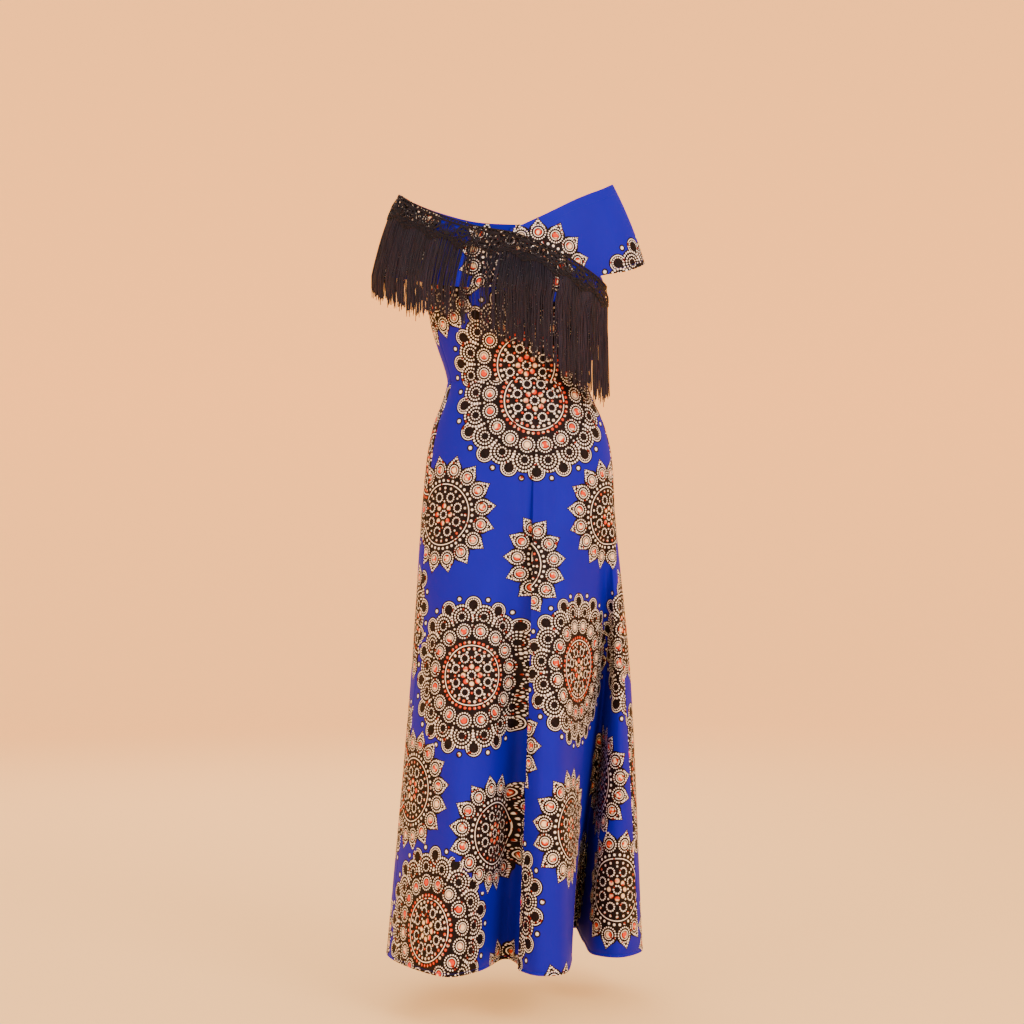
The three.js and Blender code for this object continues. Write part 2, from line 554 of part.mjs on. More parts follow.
// The lace is a net of cells, each of which may hold one gap.
function lace() {
  const repeats = Math.floor((rightBand.length - TRIM_START) / LACE_REPEAT);
  const stretch = (rightBand.length - TRIM_START) / repeats / LACE_REPEAT;
  const outer = [];
  const inner = [];
  const known = new Map();
  const triangles = [];
  // The number of the corner at a place, made once.
  const cornerAt = ({ x: s, y }) => {
    const key = `${s.toFixed(3)} ${y.toFixed(3)}`;
    if (!known.has(key)) {
      const [along, d] = [TRIM_START + s * stretch, -y];
      known.set(key, outer.length);
      outer.push(rightBand.place(along, d, laceLift(d)));
      inner.push(rightBand.place(along, d, laceLift(d) - LACE_THICKNESS));
    }
    return known.get(key);
  };
  const cell = (start, column, row) => {
    const edges = [LACE_COLUMNS[column] + start, LACE_COLUMNS[column + 1] + start];
    const downAt = (s, k) => (k < LACE_ROWS.length ? LACE_ROWS[k] : laceDepth(s));
    const [left, right] = edges;
    const contour = [[left, row + 1], [right, row + 1], [right, row], [left, row]]
      .map(([s, k]) => new THREE.Vector2(s, -downAt(s, k)));
    const holes = LACE_GAPS.filter((gap) => gap.column === column && gap.row === row).map((gap) => {
      const hole = [];
      for (let k = 0; k < GAP_SIDES; k += 1) {
        const angle = (-2 * Math.PI * (k + 0.5)) / GAP_SIDES;
        const s = start + gap.along + gap.halfAlong * Math.cos(angle);
        hole.push(new THREE.Vector2(s, -gap.down + gap.halfDown * Math.sin(angle)));
      }
      return hole;
    });
    const points = [contour, ...holes].flat();
    for (const [a, b, c] of THREE.ShapeUtils.triangulateShape(contour, holes)) {
      const turn = points[b].clone().sub(points[a]).cross(points[c].clone().sub(points[a]));
      const order = turn > 0 ? [a, b, c] : [a, c, b];
      triangles.push(order.map((k) => cornerAt(points[k])));
    }
  };
  for (let r = 0; r < repeats; r += 1)
    for (let column = 0; column + 1 < LACE_COLUMNS.length; column += 1)
      for (let row = 0; row < LACE_ROWS.length; row += 1) cell(r * LACE_REPEAT, column, row);
  return thicken(outer, inner, triangles);
}

// One strand of the fringe: it follows the band to its lower edge, then hangs from what stands out furthest.
function strandLine(s, root, out) {
  const width = rightBand.widthAt(s);
  const points = [root];
  for (let row = 1; row <= BAND_ROWS; row += 1) {
    const d = (width * row) / BAND_ROWS;
    if (d > TAPE_BOTTOM + LEAST_STRIDE) points.push(rightBand.place(s, d, STRAND_LIFT));
  }
  const standsOut = (point) => point.x * out.x + point.y * out.y;
  // Below the lace it hangs clear of a band that turns inwards.
  for (let k = 2; k < points.length; k += 1) {
    const held = standsOut(points[k - 1]) - standsOut(points[k]);
    if (held > 0) points[k].addScaledVector(out, held);
  }
  const edge = points[points.length - 1];
  const used = points.slice(1).reduce((sum, point, k) => sum + point.distanceTo(points[k]), 0);
  const foot = edge.clone().setZ(edge.z - Math.max(read(FRINGE, s, "length", "along") - used, LEAST_STRIDE));
  points.push(clearOfFigure(foot, 2 * (CLOTH + LAYER_GAP) + STRAND_LIFT));
  return points;
}

// A cord of three sides down a line of points, closed at both ends.
function strand(points, out) {
  const side = new THREE.Vector3(-out.y, out.x, 0);
  const rings = points.map((point) =>
    STRAND_TURNS.map((turn) =>
      point.clone()
        .addScaledVector(out, STRAND_RADIUS * Math.sin(radians(turn)))
        .addScaledVector(side, STRAND_RADIUS * Math.cos(radians(turn))),
    ),
  );
  const faces = [...rings[0]];
  rings.slice(1).forEach((low, i) => {
    const high = rings[i];
    for (let a = 0; a < 3; a += 1) {
      const b = (a + 1) % 3;
      faces.push(high[a], low[a], low[b]);
      faces.push(high[a], low[b], high[b]);
    }
  });
  const foot = rings[rings.length - 1];
  faces.push(foot[0], foot[2], foot[1]);
  return solidOf(geometryOf(faces));
}

function fringe() {
  const columns = STRANDS + 1;
  const sAt = (column) => mix(TRIM_START, rightBand.length - 1, column / columns);
  const tape = [TAPE_TOP, TAPE_BOTTOM].map((d) => {
    const row = [];
    for (let j = 0; j <= columns; j += 1) row.push(rightBand.place(sAt(j), d, LAYER_GAP + TAPE_THICKNESS));
    return row;
  });
  const solids = [solidOf(wall(tape, TAPE_THICKNESS))];
  for (let k = 1; k <= STRANDS; k += 1) {
    const inward = normalAt(tape, 0, k).multiplyScalar(-TAPE_THICKNESS / 2);
    const root = tape[1][k].clone().lerp(tape[0][k], ROOT_DEPTH / (TAPE_BOTTOM - TAPE_TOP)).add(inward);
    const out = new THREE.Vector3(-inward.x, -inward.y, 0).normalize();
    solids.push(strand(strandLine(sAt(k), root, out), out));
  }
  return geometryFrom(wasm.Manifold.union(solids));
}

// Zip

// The closed zip's tape lies inside the back seam, from under the neckline edge to the hips.
function zipTape() {
  const grid = [];
  for (let i = 0; i <= ZIP_ROWS; i += 1) {
    const z = mix(ZIP_TOP_Z + ZIP_HEAD, ZIP_END_Z, i / ZIP_ROWS);
    const halfAngle = ZIP_WIDTH / 2 / read(FIGURE, z, "halfWidth");
    grid.push([-1, 0, 1].map((side) => body(Math.PI + side * halfAngle, z, -(CLOTH + TAPE_CLEARANCE))));
  }
  return wall(grid, ZIP_TAPE);
}

const backSeam = RIGHT_BAND[0];
const zipSurface = rightBand.surface(0, (backSeam.topZ - ZIP_TOP_Z) / (backSeam.topZ - backSeam.lowZ)).y;
const pinLift = SLIDER_LIFT + SLIDER.plate + RUNNING_GAP + BARREL_RADIUS;
const PIN = new THREE.Vector3(0, zipSurface + pinLift, ZIP_TOP_Z);

// The slider: a small plate on the seam with two cheeks that hold the pin.
function slider() {
  const out = zipSurface + SLIDER_LIFT;
  const plate = new THREE.BoxGeometry(SLIDER.width, SLIDER.plate, SLIDER.height)
    .translate(0, out + SLIDER.plate / 2, ZIP_TOP_Z - 1);
  const cheekDepth = PIN.y + EYE_RADIUS - out;
  const cheeks = [-1, 1].map((side) =>
    new THREE.BoxGeometry(SLIDER.cheek, cheekDepth, 2 * BARREL_RADIUS)
      .translate((side * (SLIDER.width - SLIDER.cheek)) / 2, out + cheekDepth / 2, ZIP_TOP_Z),
  );
  const pin = new THREE.CylinderGeometry(PIN_RADIUS, PIN_RADIUS, SLIDER.width - SLIDER.cheek, 12)
    .rotateZ(Math.PI / 2)
    .translate(PIN.x, PIN.y, PIN.z);
  return geometryFrom(wasm.Manifold.union([plate, ...cheeks, pin].map(solidOf)));
}

// The pull tab: a flat tongue whose eye turns on the pin.
function tab() {
  const half = TAB_WIDTH / 2;
  const neck = SLIDER.width / 2 - SLIDER.cheek - RUNNING_GAP;
  const outline = new THREE.Shape();
  outline.moveTo(-neck, 0);
  outline.lineTo(neck, 0);
  outline.lineTo(neck, -TAB_NECK);
  outline.lineTo(half, -TAB_SHOULDER);
  outline.lineTo(half, -TAB_LENGTH + half);
  outline.absarc(0, -TAB_LENGTH + half, half, 0, -Math.PI, true);
  outline.lineTo(-half, -TAB_SHOULDER);
  outline.lineTo(-neck, -TAB_NECK);
  const depth = TAB_THICKNESS;
  const plate = new THREE.ExtrudeGeometry(outline, { depth, bevelEnabled: false, curveSegments: 6 })
    .translate(0, 0, -TAB_THICKNESS / 2)
    .rotateX(Math.PI / 2);
  const barrel = new THREE.CylinderGeometry(BARREL_RADIUS, BARREL_RADIUS, 2 * neck, 14).rotateZ(Math.PI / 2);
  const eye = new THREE.CylinderGeometry(EYE_RADIUS, EYE_RADIUS, 3 * neck, 14).rotateZ(Math.PI / 2);
  const solid = solidOf(plate).add(solidOf(barrel)).subtract(solidOf(eye));
  return geometryFrom(solid).translate(PIN.x, PIN.y, PIN.z);
}

// Belt loops

// A thread loop that stands off the waist at a side seam, its feet just clear of the cloth.
function beltLoop(seam) {
  const angle = radians(seam);
  const points = LOOP.map(({ up, lift }) => body(angle, WAIST_Z + up, lift));
  const path = new THREE.CatmullRomCurve3(points);
  const section = new THREE.Shape();
  section.absarc(0, 0, LOOP_CORD / 2, 0, 2 * Math.PI, false);
  return new THREE.ExtrudeGeometry(section, { steps: 8, extrudePath: path, curveSegments: 3 });
}

// The dress

const printCotton = new THREE.MeshStandardMaterial({ color: 0x1a2bb0, roughness: 0.72, metalness: 0 });
const blackLace = new THREE.MeshStandardMaterial({ color: 0x17141c, roughness: 0.85, metalness: 0 });
const blackFringe = new THREE.MeshStandardMaterial({ color: 0x1c1922, roughness: 0.45, metalness: 0 });
const blueTape = new THREE.MeshStandardMaterial({ color: 0x15208a, roughness: 0.8, metalness: 0 });
const blueMetal = new THREE.MeshStandardMaterial({ color: 0x1c2c9c, roughness: 0.35, metalness: 0.3 });
const brownThread = new THREE.MeshStandardMaterial({ color: 0x2a1a1c, roughness: 0.8, metalness: 0 });

const dress = new THREE.Group();
function add(name, geometry, material) {
  const bare = geometry.index ? geometry.toNonIndexed() : geometry.clone();
  bare.deleteAttribute("uv");
  bare.computeVertexNormals();
  const mesh = new THREE.Mesh(bare, material);
  mesh.name = name;
  dress.add(mesh);
}

add("bodice_front", bodicePanel(RIGHT_SEAM, LEFT_SEAM, 22, 8, frontTop), printCotton);
add("bodice_back_left", bodicePanel(LEFT_SEAM, 180, 10, 7, backTop), printCotton);
add("bodice_back_right", bodicePanel(180, 360 + RIGHT_SEAM, 11, 7, backTop), printCotton);
add("skirt_front", skirtPanel(RIGHT_SEAM_FOLD, FOLDS.length + LEFT_SEAM_FOLD), printCotton);
add("skirt_back_left", skirtPanel(LEFT_SEAM_FOLD, BACK_SEAM_FOLD), printCotton);
add("skirt_back_right", skirtPanel(BACK_SEAM_FOLD, RIGHT_SEAM_FOLD), printCotton);
add("shoulder_band_right", bandPanel(rightBand, RIGHT_TURN), printCotton);
add("shoulder_band_left", bandPanel(leftBand, LEFT_TURN), printCotton);
add("lace_trim", lace(), blackLace);
add("fringe", fringe(), blackFringe);
add("zip_tape", zipTape(), blueTape);
add("zip_slider", slider(), blueMetal);
add("zip_tab", tab(), blueMetal);
add("belt_loop_right", beltLoop(RIGHT_SEAM), brownThread);
add("belt_loop_left", beltLoop(LEFT_SEAM), brownThread);

export default dress;
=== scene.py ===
# %% [markdown]
# # An off-the-shoulder maxi dress of wax-print cotton, with a lace and fringe trim
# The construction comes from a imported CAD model, the frame. This lesson dresses it: smooth cloth with
# soft creases, a dotted print made by formula, corded lace, a hanging fringe, stitches and a closed zip.
# The dress is in its worn shape, and nobody wears it. The first step loads the frame and keeps its size.

# %% Load the frame
import math

import bpy
import numpy as np
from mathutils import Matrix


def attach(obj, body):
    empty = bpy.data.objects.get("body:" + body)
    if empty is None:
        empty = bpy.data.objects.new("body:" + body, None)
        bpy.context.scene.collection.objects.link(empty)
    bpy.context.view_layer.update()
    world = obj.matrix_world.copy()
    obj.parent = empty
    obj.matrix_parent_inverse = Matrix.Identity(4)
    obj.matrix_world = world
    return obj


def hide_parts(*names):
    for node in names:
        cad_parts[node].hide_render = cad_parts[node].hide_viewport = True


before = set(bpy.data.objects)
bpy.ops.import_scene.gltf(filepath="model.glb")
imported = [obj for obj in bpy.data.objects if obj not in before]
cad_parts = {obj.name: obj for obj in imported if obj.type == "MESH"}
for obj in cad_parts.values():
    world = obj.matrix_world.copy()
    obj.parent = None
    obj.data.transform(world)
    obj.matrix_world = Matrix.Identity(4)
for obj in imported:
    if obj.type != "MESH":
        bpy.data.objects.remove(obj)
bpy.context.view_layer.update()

MM = 0.001
SEED = 11
scene = bpy.context.scene
print("nodes in the frame:", len(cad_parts))

# %% [markdown]
# ## The view
# The photograph was taken from about four metres away with a short telephoto lens, level with the hips.
# A camera object gets the same place and lens, so that the render lines up with it.
# It looks along +Y, at the front of the dress, which faces -Y.

# %% Camera
CAMERA_PLACE = (-0.007, -4.0, -0.399)
LENS_MM = 80

camera_data = bpy.data.cameras.new("camera")
camera_data.lens = LENS_MM
camera_data.sensor_width = 36
camera = bpy.data.objects.new("camera", camera_data)
camera.location = CAMERA_PLACE
camera.rotation_euler = (math.radians(90), 0, 0)
scene.collection.objects.link(camera)
scene.camera = camera
print("camera at", CAMERA_PLACE, "with a lens of", LENS_MM, "mm")

# %% [markdown]
# ## Arithmetic for curves
# The cloth follows the same rules as the CAD solids: short tables of sections and folds, with smooth
# curves drawn through their rows. NumPy works out a whole grid of points in one go.
# Every table is in millimetres, and a mesh is turned to metres when it is made.

# %% Tables and smooth steps
def rows(columns, values):
    """A table with named columns."""
    return [dict(zip(columns, row)) for row in values]


def mix(a, b, share):
    return a + (b - a) * share


def smooth(share):
    t = np.clip(share, 0.0, 1.0)
    return t * t * (3 - 2 * t)


def rising(value, start, end):
    """From 0 to 1 between two limits, smoothly."""
    return smooth((np.asarray(value, float) - start) / (end - start))


def bump_of(distance, width):
    """1 in the middle of a soft ridge or trough, falling to nothing at its sides."""
    return np.exp(-((distance / width) ** 2))


def cubic(keys, values, at):
    """A cubic curve through values at rising keys. Each key may have one number or an array of them."""
    at = np.asarray(at, float)
    values = np.asarray(values, float)
    if values.ndim == 1:
        values = values.reshape(-1, *[1] * at.ndim)
    values = np.broadcast_to(values, (len(keys), *at.shape))
    keys = np.asarray(keys, float)
    last = len(keys) - 1
    before = np.maximum(np.arange(last + 1) - 1, 0)
    after = np.minimum(np.arange(last + 1) + 1, last)
    spans = (keys[after] - keys[before]).reshape(-1, *[1] * at.ndim)
    slopes = (values[after] - values[before]) / spans
    i = np.clip(np.searchsorted(keys, at, side="right") - 1, 0, last - 1)
    step = keys[i + 1] - keys[i]
    t = np.clip((at - keys[i]) / step, 0, 1)

    def pick(stack, k):
        return np.take_along_axis(stack, k[None], 0)[0]

    ends = mix(pick(values, i), pick(values, i + 1), smooth(t))
    return ends + pick(slopes, i) * step * t * (1 - t) ** 2 - pick(slopes, i + 1) * step * t**2 * (1 - t)


def read(table, value, column, key="z"):
    """One column of a table at a value of its key."""
    ordered = sorted(table, key=lambda row: row[key])
    return cubic([row[key] for row in ordered], [row[column] for row in ordered], value)


def through_four(a, b, c, d, t):
    """A smooth curve through four neighbours, between the middle two, for uneven spacing."""

    def gap(p, q):
        return np.maximum(np.sqrt(np.linalg.norm(p - q, axis=-1, keepdims=True)), 1e-3)

    before, here, after = gap(a, b), gap(b, c), gap(c, d)
    start = ((b - a) / before - (c - a) / (before + here) + (c - b) / here) * here
    end = ((c - b) / here - (d - b) / (here + after) + (d - c) / after) * here
    t = np.asarray(t, float)[..., None]
    return b + (c - b) * smooth(t) + start * t * (1 - t) ** 2 - end * t**2 * (1 - t)


# %% [markdown]
# ## The room and the light
# A plain pale floor runs up into a plain wall in one soft curve, as in a photographer's cove. The wall
# goes all round, further away than any camera, so that the dress can be seen from every side.
# The light is soft: a large panel high on the right of the picture, a weaker one on its left, a faint
# one low in front, and one behind for the back. The pale air of the studio lights the deep folds.

# %% Floor, wall and lights
FLOOR_Z = -1.261
COVE_RADIUS = 6.5
COVE_BEND = 1.4
COVE_TOP = 2.5
COVE_SIDES = 96
COVE_FLOOR_RINGS = (0.02, 2.0, 4.0)  # how far out the flat floor has its rings of points


def linear(hex_colour):
    """An sRGB hex colour as the linear red, green, blue and alpha that Blender works in."""
    parts = [int(hex_colour[k : k + 2], 16) / 255 for k in (1, 3, 5)]
    return [c / 12.92 if c <= 0.04045 else ((c + 0.055) / 1.055) ** 2.4 for c in parts] + [1.0]


def studio_cove():
    """The floor and the wall: one profile from the middle outwards and up, turned all the way round."""
    bend = np.radians(np.linspace(0, 90, 13))
    curved = COVE_RADIUS - COVE_BEND + COVE_BEND * np.sin(bend)
    out = np.concatenate([COVE_FLOOR_RINGS, curved, [COVE_RADIUS]])
    level_floor = np.zeros(len(COVE_FLOOR_RINGS))
    risen = np.concatenate([level_floor, COVE_BEND * (1 - np.cos(bend)), [COVE_TOP - FLOOR_Z]])
    turn = np.radians(np.arange(COVE_SIDES) * 360 / COVE_SIDES)
    level = (np.outer(out, np.cos(turn)), np.outer(out, np.sin(turn)))
    points = np.stack(np.broadcast_arrays(*level, (risen + FLOOR_Z)[:, None]), -1)
    number = np.arange(points.shape[0] * COVE_SIDES).reshape(-1, COVE_SIDES)
    after = np.roll(number, -1, axis=1)
    faces = np.stack([number[:-1], number[1:], after[1:], after[:-1]], -1).reshape(-1, 4).tolist()
    mesh = bpy.data.meshes.new("studio_cove")
    mesh.from_pydata(points.reshape(-1, 3).tolist(), [], faces + [number[0].tolist()])
    mesh.polygons.foreach_set("use_smooth", np.ones(len(faces) + 1, bool))
    cove = bpy.data.objects.new("studio_cove", mesh)
    scene.collection.objects.link(cove)
    return cove


paper = bpy.data.materials.new("studio_paper")
paper.use_nodes = True
paper_shader = paper.node_tree.nodes["Principled BSDF"]
paper_shader.inputs["Base Color"].default_value = linear("#FFC880")
paper_shader.inputs["Roughness"].default_value = 0.9
paper_shader.inputs["Emission Color"].default_value = linear("#FFC87A")  # as if lit by lamps of its own
paper_shader.inputs["Emission Strength"].default_value = 0.7
cove = studio_cove()
cove.data.materials.append(paper)

LIGHTS = rows(
    ("name", "place", "size", "watts"),
    [
        ("key_panel", (2.1, -3.0, 1.4), 1.6, 88),
        ("fill_panel", (-2.4, -2.7, 0.5), 2.0, 34),
        ("low_panel", (0.3, -3.2, -0.9), 1.4, 8),
        ("back_panel", (-1.0, 3.2, 1.6), 2.4, 60),
    ],
)
AIM = np.array([0.0, 0.0, -0.45])
for row in LIGHTS:
    lamp = bpy.data.lights.new(row["name"], "AREA")
    lamp.energy = row["watts"]
    lamp.size = row["size"]
    light = bpy.data.objects.new(row["name"], lamp)
    light.location = row["place"]
    toward = AIM - np.array(row["place"])
    light.rotation_euler = (
        math.atan2(math.hypot(toward[0], toward[1]), -toward[2]),
        0,
        math.atan2(-toward[0], toward[1]),
    )
    scene.collection.objects.link(light)

world = bpy.data.worlds.new("studio_air")
world.use_nodes = True
world.node_tree.nodes["Background"].inputs["Color"].default_value = linear("#FFF4E8")
world.node_tree.nodes["Background"].inputs["Strength"].default_value = 0.85
scene.world = world
print(len(LIGHTS), "light panels")

# %% [markdown]
# ## The figure that gives the dress its form
# A fitted dress keeps the form of a general figure. A dozen sections give the half width and the depth
# to the front and the back. Two soft cups push the front out, and the cloth bridges the space between.
# Such a form could be sculpted, but sections in a dressmaker's sizes are easier to read and to change.

# %% Figure sections
FIGURE = rows(
    ("z", "half_width", "front", "back", "shift"),
    [
        (190, 150, 62, 84, 0),
        (110, 158, 88, 94, 0),
        (50, 161, 101, 98, 0),
        (0, 158, 110, 98, 0),
        (-70, 150, 103, 90, 0),
        (-114, 138, 95, 83, 1),
        (-150, 127, 89, 79, 2),
        (-173, 123, 88, 78, 2),
        (-209, 135, 96, 87, 4),
        (-243, 149, 104, 97, 5),
        (-300, 162, 113, 110, 6),
        (-400, 170, 125, 122, 4),
    ],
)
WAIST_Z = -173
HIGH_HIP_Z = -300
HIP_Z = -400
KNEE_Z = -700
HEM_Z = -1172
BUST_Z = -22
BUST_HALF_SPAN = 62
CUP_DEPTH = 14
CUP_SOFTNESS = 44
CLEAVAGE_DIP = 3
WAIST_HALF_WIDTH = 123
WAIST_HALF_DEPTH = 83


def cup(x, z):
    """How far the bust cups push the cloth forward."""
    beyond = np.maximum(np.abs(x) - BUST_HALF_SPAN, 0) / CUP_SOFTNESS
    above = (z - BUST_Z) / CUP_SOFTNESS
    between = CLEAVAGE_DIP * np.maximum(1 - np.abs(x) / BUST_HALF_SPAN, 0)
    return (CUP_DEPTH - between) * np.exp(-(beyond**2) - above**2)


def body(angle, z, lift=0.0):
    """The dress's outer surface on the figure, at an angle from the front and a height."""
    angle, z = np.broadcast_arrays(np.asarray(angle, float), np.asarray(z, float))
    forward = np.cos(angle) > 0
    depth = np.where(forward, read(FIGURE, z, "front"), read(FIGURE, z, "back")) + lift
    side = (read(FIGURE, z, "half_width") + lift) * np.sin(angle)
    y = -depth * np.cos(angle) - np.where(forward, cup(side, z) * np.cos(angle), 0)
    return np.stack([read(FIGURE, z, "shift") + side, y, z], -1)


def clear_of_figure(points, lift):
    """Moves points outwards, where they must, until they are a lift clear of the figure."""
    x, y, z = np.moveaxis(points, -1, 0)
    shift = read(FIGURE, z, "shift")
    depth = np.where(y < 0, read(FIGURE, z, "front"), read(FIGURE, z, "back"))
    angle = np.arctan2((x - shift) / read(FIGURE, z, "half_width"), -y / depth)
    surface = body(angle, z, lift)
    for _ in range(3):
        wanted = np.arctan2(x - shift, -y)
        found = np.arctan2(surface[..., 0] - shift, -surface[..., 1])
        turn = np.mod(wanted - found + np.pi, 2 * np.pi) - np.pi
        angle = angle + turn
        surface = body(angle, z, lift)
    reach = np.maximum(np.hypot(x - shift, y), 1e-6)
    least = np.hypot(surface[..., 0] - shift, surface[..., 1])
    scale = np.maximum(least / reach, 1)
    return np.stack([shift + (x - shift) * scale, y * scale, z], -1)


waist = 2 * math.pi * math.sqrt((WAIST_HALF_WIDTH**2 + WAIST_HALF_DEPTH**2) / 2)
print("waist round:", round(waist), "mm")

# %% [markdown]
# ## From a grid of points to a cloth panel
# Each panel is a grid of points whose rows run down and whose columns run towards the wearer's left.
# Blender's unwrap lays the panel flat, as a pattern cutter would, and the flat pattern is turned and
# scaled to real size. The print is drawn on that flat pattern, so it runs with the grain of the cloth.
# Then Solidify gives the wall its thickness.

# %% Panel helpers
CLOTH = 1.2
SEAM_OVERLAP = 0.8  # two panels' edges pass each other, so that no light shows through the seam
SEAM_ROLL = 1.1  # how far a panel's edge turns in at a seam
SEAM_SOFT = 3.2  # over this distance from the edge


def grid_normals(points):
    """The outward normals of a grid of points."""
    down = np.gradient(points, axis=0)
    along = np.gradient(points, axis=1)
    normals = np.cross(down, along)
    return normals / np.maximum(np.linalg.norm(normals, axis=-1, keepdims=True), 1e-9)


def lengths_along(points, axis):
    """The distance along a grid's rows or columns, from the first point."""
    steps = np.linalg.norm(np.diff(points, axis=axis), axis=-1)
    zero = np.zeros_like(np.take(steps, [0], axis))
    return np.cumsum(np.concatenate([zero, steps], axis), axis)


def roll_seams(points, edges):
    """Turns the named edges of a grid in, as at a pressed seam."""
    across, down = lengths_along(points, 1), lengths_along(points, 0)
    reach = {"first": across, "last": across[:, -1:] - across, "top": down, "low": down[-1:] - down}
    turned = sum(SEAM_ROLL * np.clip(1 - reach[edge] / SEAM_SOFT, 0, 1) ** 2 for edge in edges)
    return points - grid_normals(points) * np.asarray(turned)[..., None]


def grid_mesh(name, points):
    """A mesh object from a grid of points in millimetres."""
    count_down, count_across = points.shape[:2]
    number = np.arange(count_down * count_across).reshape(count_down, count_across)
    corners = [number[:-1, :-1], number[1:, :-1], number[1:, 1:], number[:-1, 1:]]
    faces = np.stack(corners, -1).reshape(-1, 4)
    mesh = bpy.data.meshes.new(name)
    mesh.from_pydata((points.reshape(-1, 3) * MM).tolist(), [], faces.tolist())
    mesh.polygons.foreach_set("use_smooth", np.ones(len(faces), bool))
    piece = bpy.data.objects.new(name, mesh)
    scene.collection.objects.link(piece)
    return piece


def lay_flat(piece, points, middle):
    """Unwraps a panel and turns its flat pattern upright, in metres, with 0, 0 at its middle column's top."""
    bpy.ops.object.select_all(action="DESELECT")
    piece.select_set(True)
    bpy.context.view_layer.objects.active = piece
    piece.data.uv_layers.new(name="flat")
    bpy.ops.object.mode_set(mode="EDIT")
    bpy.ops.mesh.select_all(action="SELECT")
    bpy.ops.uv.unwrap(method="ANGLE_BASED", margin=0)
    bpy.ops.object.mode_set(mode="OBJECT")
    layer = piece.data.uv_layers["flat"]
    corner_uv = np.zeros(len(layer.uv) * 2)
    layer.uv.foreach_get("vector", corner_uv)
    corner_uv = corner_uv.reshape(-1, 2)
    corner_point = np.zeros(len(piece.data.loops), int)
    piece.data.loops.foreach_get("vertex_index", corner_point)
    plane = np.zeros(points.shape[0] * points.shape[1], complex)
    plane[corner_point] = corner_uv[:, 0] + 1j * corner_uv[:, 1]
    across, down = lengths_along(points, 1), lengths_along(points, 0)
    rough = (across - across[:, [middle]]) - 1j * down[:, [middle]]
    rough = rough.ravel() * MM
    start, goal = plane - plane.mean(), rough - rough.mean()
    fitted = start * (np.vdot(start, goal) / np.vdot(start, start))
    fitted -= fitted[middle]
    flat = np.stack([fitted.real, fitted.imag], -1)
    layer.uv.foreach_set("vector", flat[corner_point].ravel())
    return flat.reshape(*points.shape[:2], 2)


panels = {}
flats = {}
outers = {}


def add_panel(name, points):
    """Makes a panel from its outer points, lays it flat and keeps both."""
    panels[name] = grid_mesh(name + "_cloth", points)
    outers[name] = points
    flats[name] = lay_flat(panels[name], points, points.shape[1] // 2)
    size = np.ptp(flats[name].reshape(-1, 2), axis=0)
    print(name, "lies flat in", size.round(3), "m")


def keep_result(piece, modifier):
    """Keeps what a modifier makes of a piece as the piece's plain mesh."""
    evaluated = piece.evaluated_get(bpy.context.evaluated_depsgraph_get())
    mesh = bpy.data.meshes.new_from_object(evaluated)
    piece.modifiers.remove(modifier)
    old = piece.data
    piece.data = mesh
    bpy.data.meshes.remove(old)
    mesh.name = piece.name


def give_wall(piece):
    """A wall inwards from a panel's outer face, as a plain mesh."""
    solidify = piece.modifiers.new("wall", "SOLIDIFY")
    solidify.thickness = CLOTH * MM
    solidify.offset = -1
    solidify.use_even_offset = True
    keep_result(piece, solidify)
    piece.data.set_sharp_from_angle(angle=math.radians(50))


# %% [markdown]
# ## The skirt
# The skirt is cut close at the waist and hips and wide at the hem, so it hangs in deep cones.
# A table of fold lines says where each line leaves the hips and where it is at the knee and at the hem.
# The surface is a smooth curve through those lines at each height. Blender's cloth simulation could
# drape such a skirt too, but its folds fall where they like. The table puts each fold in its place.

# %% Fold lines
FOLDS = rows(
    ("fold", "at", "knee_x", "knee_y", "hem_x", "hem_y", "rise"),
    [
        ("middle ridge foot", 8, 23, -146, 4, -152, 0),
        ("middle ridge", 15, 46, -170, 38, -208, 0),
        ("middle ridge edge", 24, 72, -166, 76, -198, 0),
        ("middle flank", 38, 112, -92, 95, -92, 0),
        ("deep valley front", 52, 138, -30, 96, 50, 6),
        ("deep valley", 62, 156, 28, 108, 182, 12),
        ("deep valley back", 67, 164, -2, 121, 55, 6),
        ("left ridge corner", 71, 171, -34, 136, -28, 0),
        ("left ridge", 75, 181, -42, 177, -54, 0),
        ("left seam", 80, 191, -26, 217, -8, 0),
        ("left side", 92, 203, 18, 224, 58, 0),
        ("left back", 112, 180, 90, 206, 150, 0),
        ("back left ridge", 131, 136, 148, 158, 238, 0),
        ("back left valley", 146, 92, 142, 88, 228, 0),
        ("back middle ridge", 162, 45, 168, 34, 276, 0),
        ("back seam", 180, 0, 142, -12, 222, 0),
        ("back ridge", 197, -48, 168, -64, 272, 0),
        ("back right valley", 213, -95, 138, -118, 212, 0),
        ("back right ridge", 229, -138, 142, -172, 226, 0),
        ("right back", 250, -174, 80, -212, 120, 0),
        ("right side", 272, -186, 14, -227, 24, 0),
        ("right seam", 290, -176, -54, -222, -42, 0),
        ("right ridge outer", 308, -140, -116, -174, -150, 0),
        ("right ridge", 326, -90, -150, -112, -220, 0),
        ("right ridge inner", 343, -38, -146, -60, -168, 0),
        ("front valley", 358, 5, -116, -18, -68, 0),
    ],
)
LEFT_SEAM_FOLD = 9
BACK_SEAM_FOLD = 15
RIGHT_SEAM_FOLD = 21
FOLD_AT = np.array([fold["at"] for fold in FOLDS], float)
FOLD_RISE = np.array([fold["rise"] for fold in FOLDS], float)
hips = body(np.radians(FOLD_AT), HIP_Z)
high_hips = body(np.radians(FOLD_AT), HIGH_HIP_Z)
LINE_HEIGHTS = (HEM_Z, KNEE_Z, HIP_Z, HIGH_HIP_Z)
LINE_X = np.array([[f["hem_x"] for f in FOLDS], [f["knee_x"] for f in FOLDS], hips[:, 0], high_hips[:, 0]])
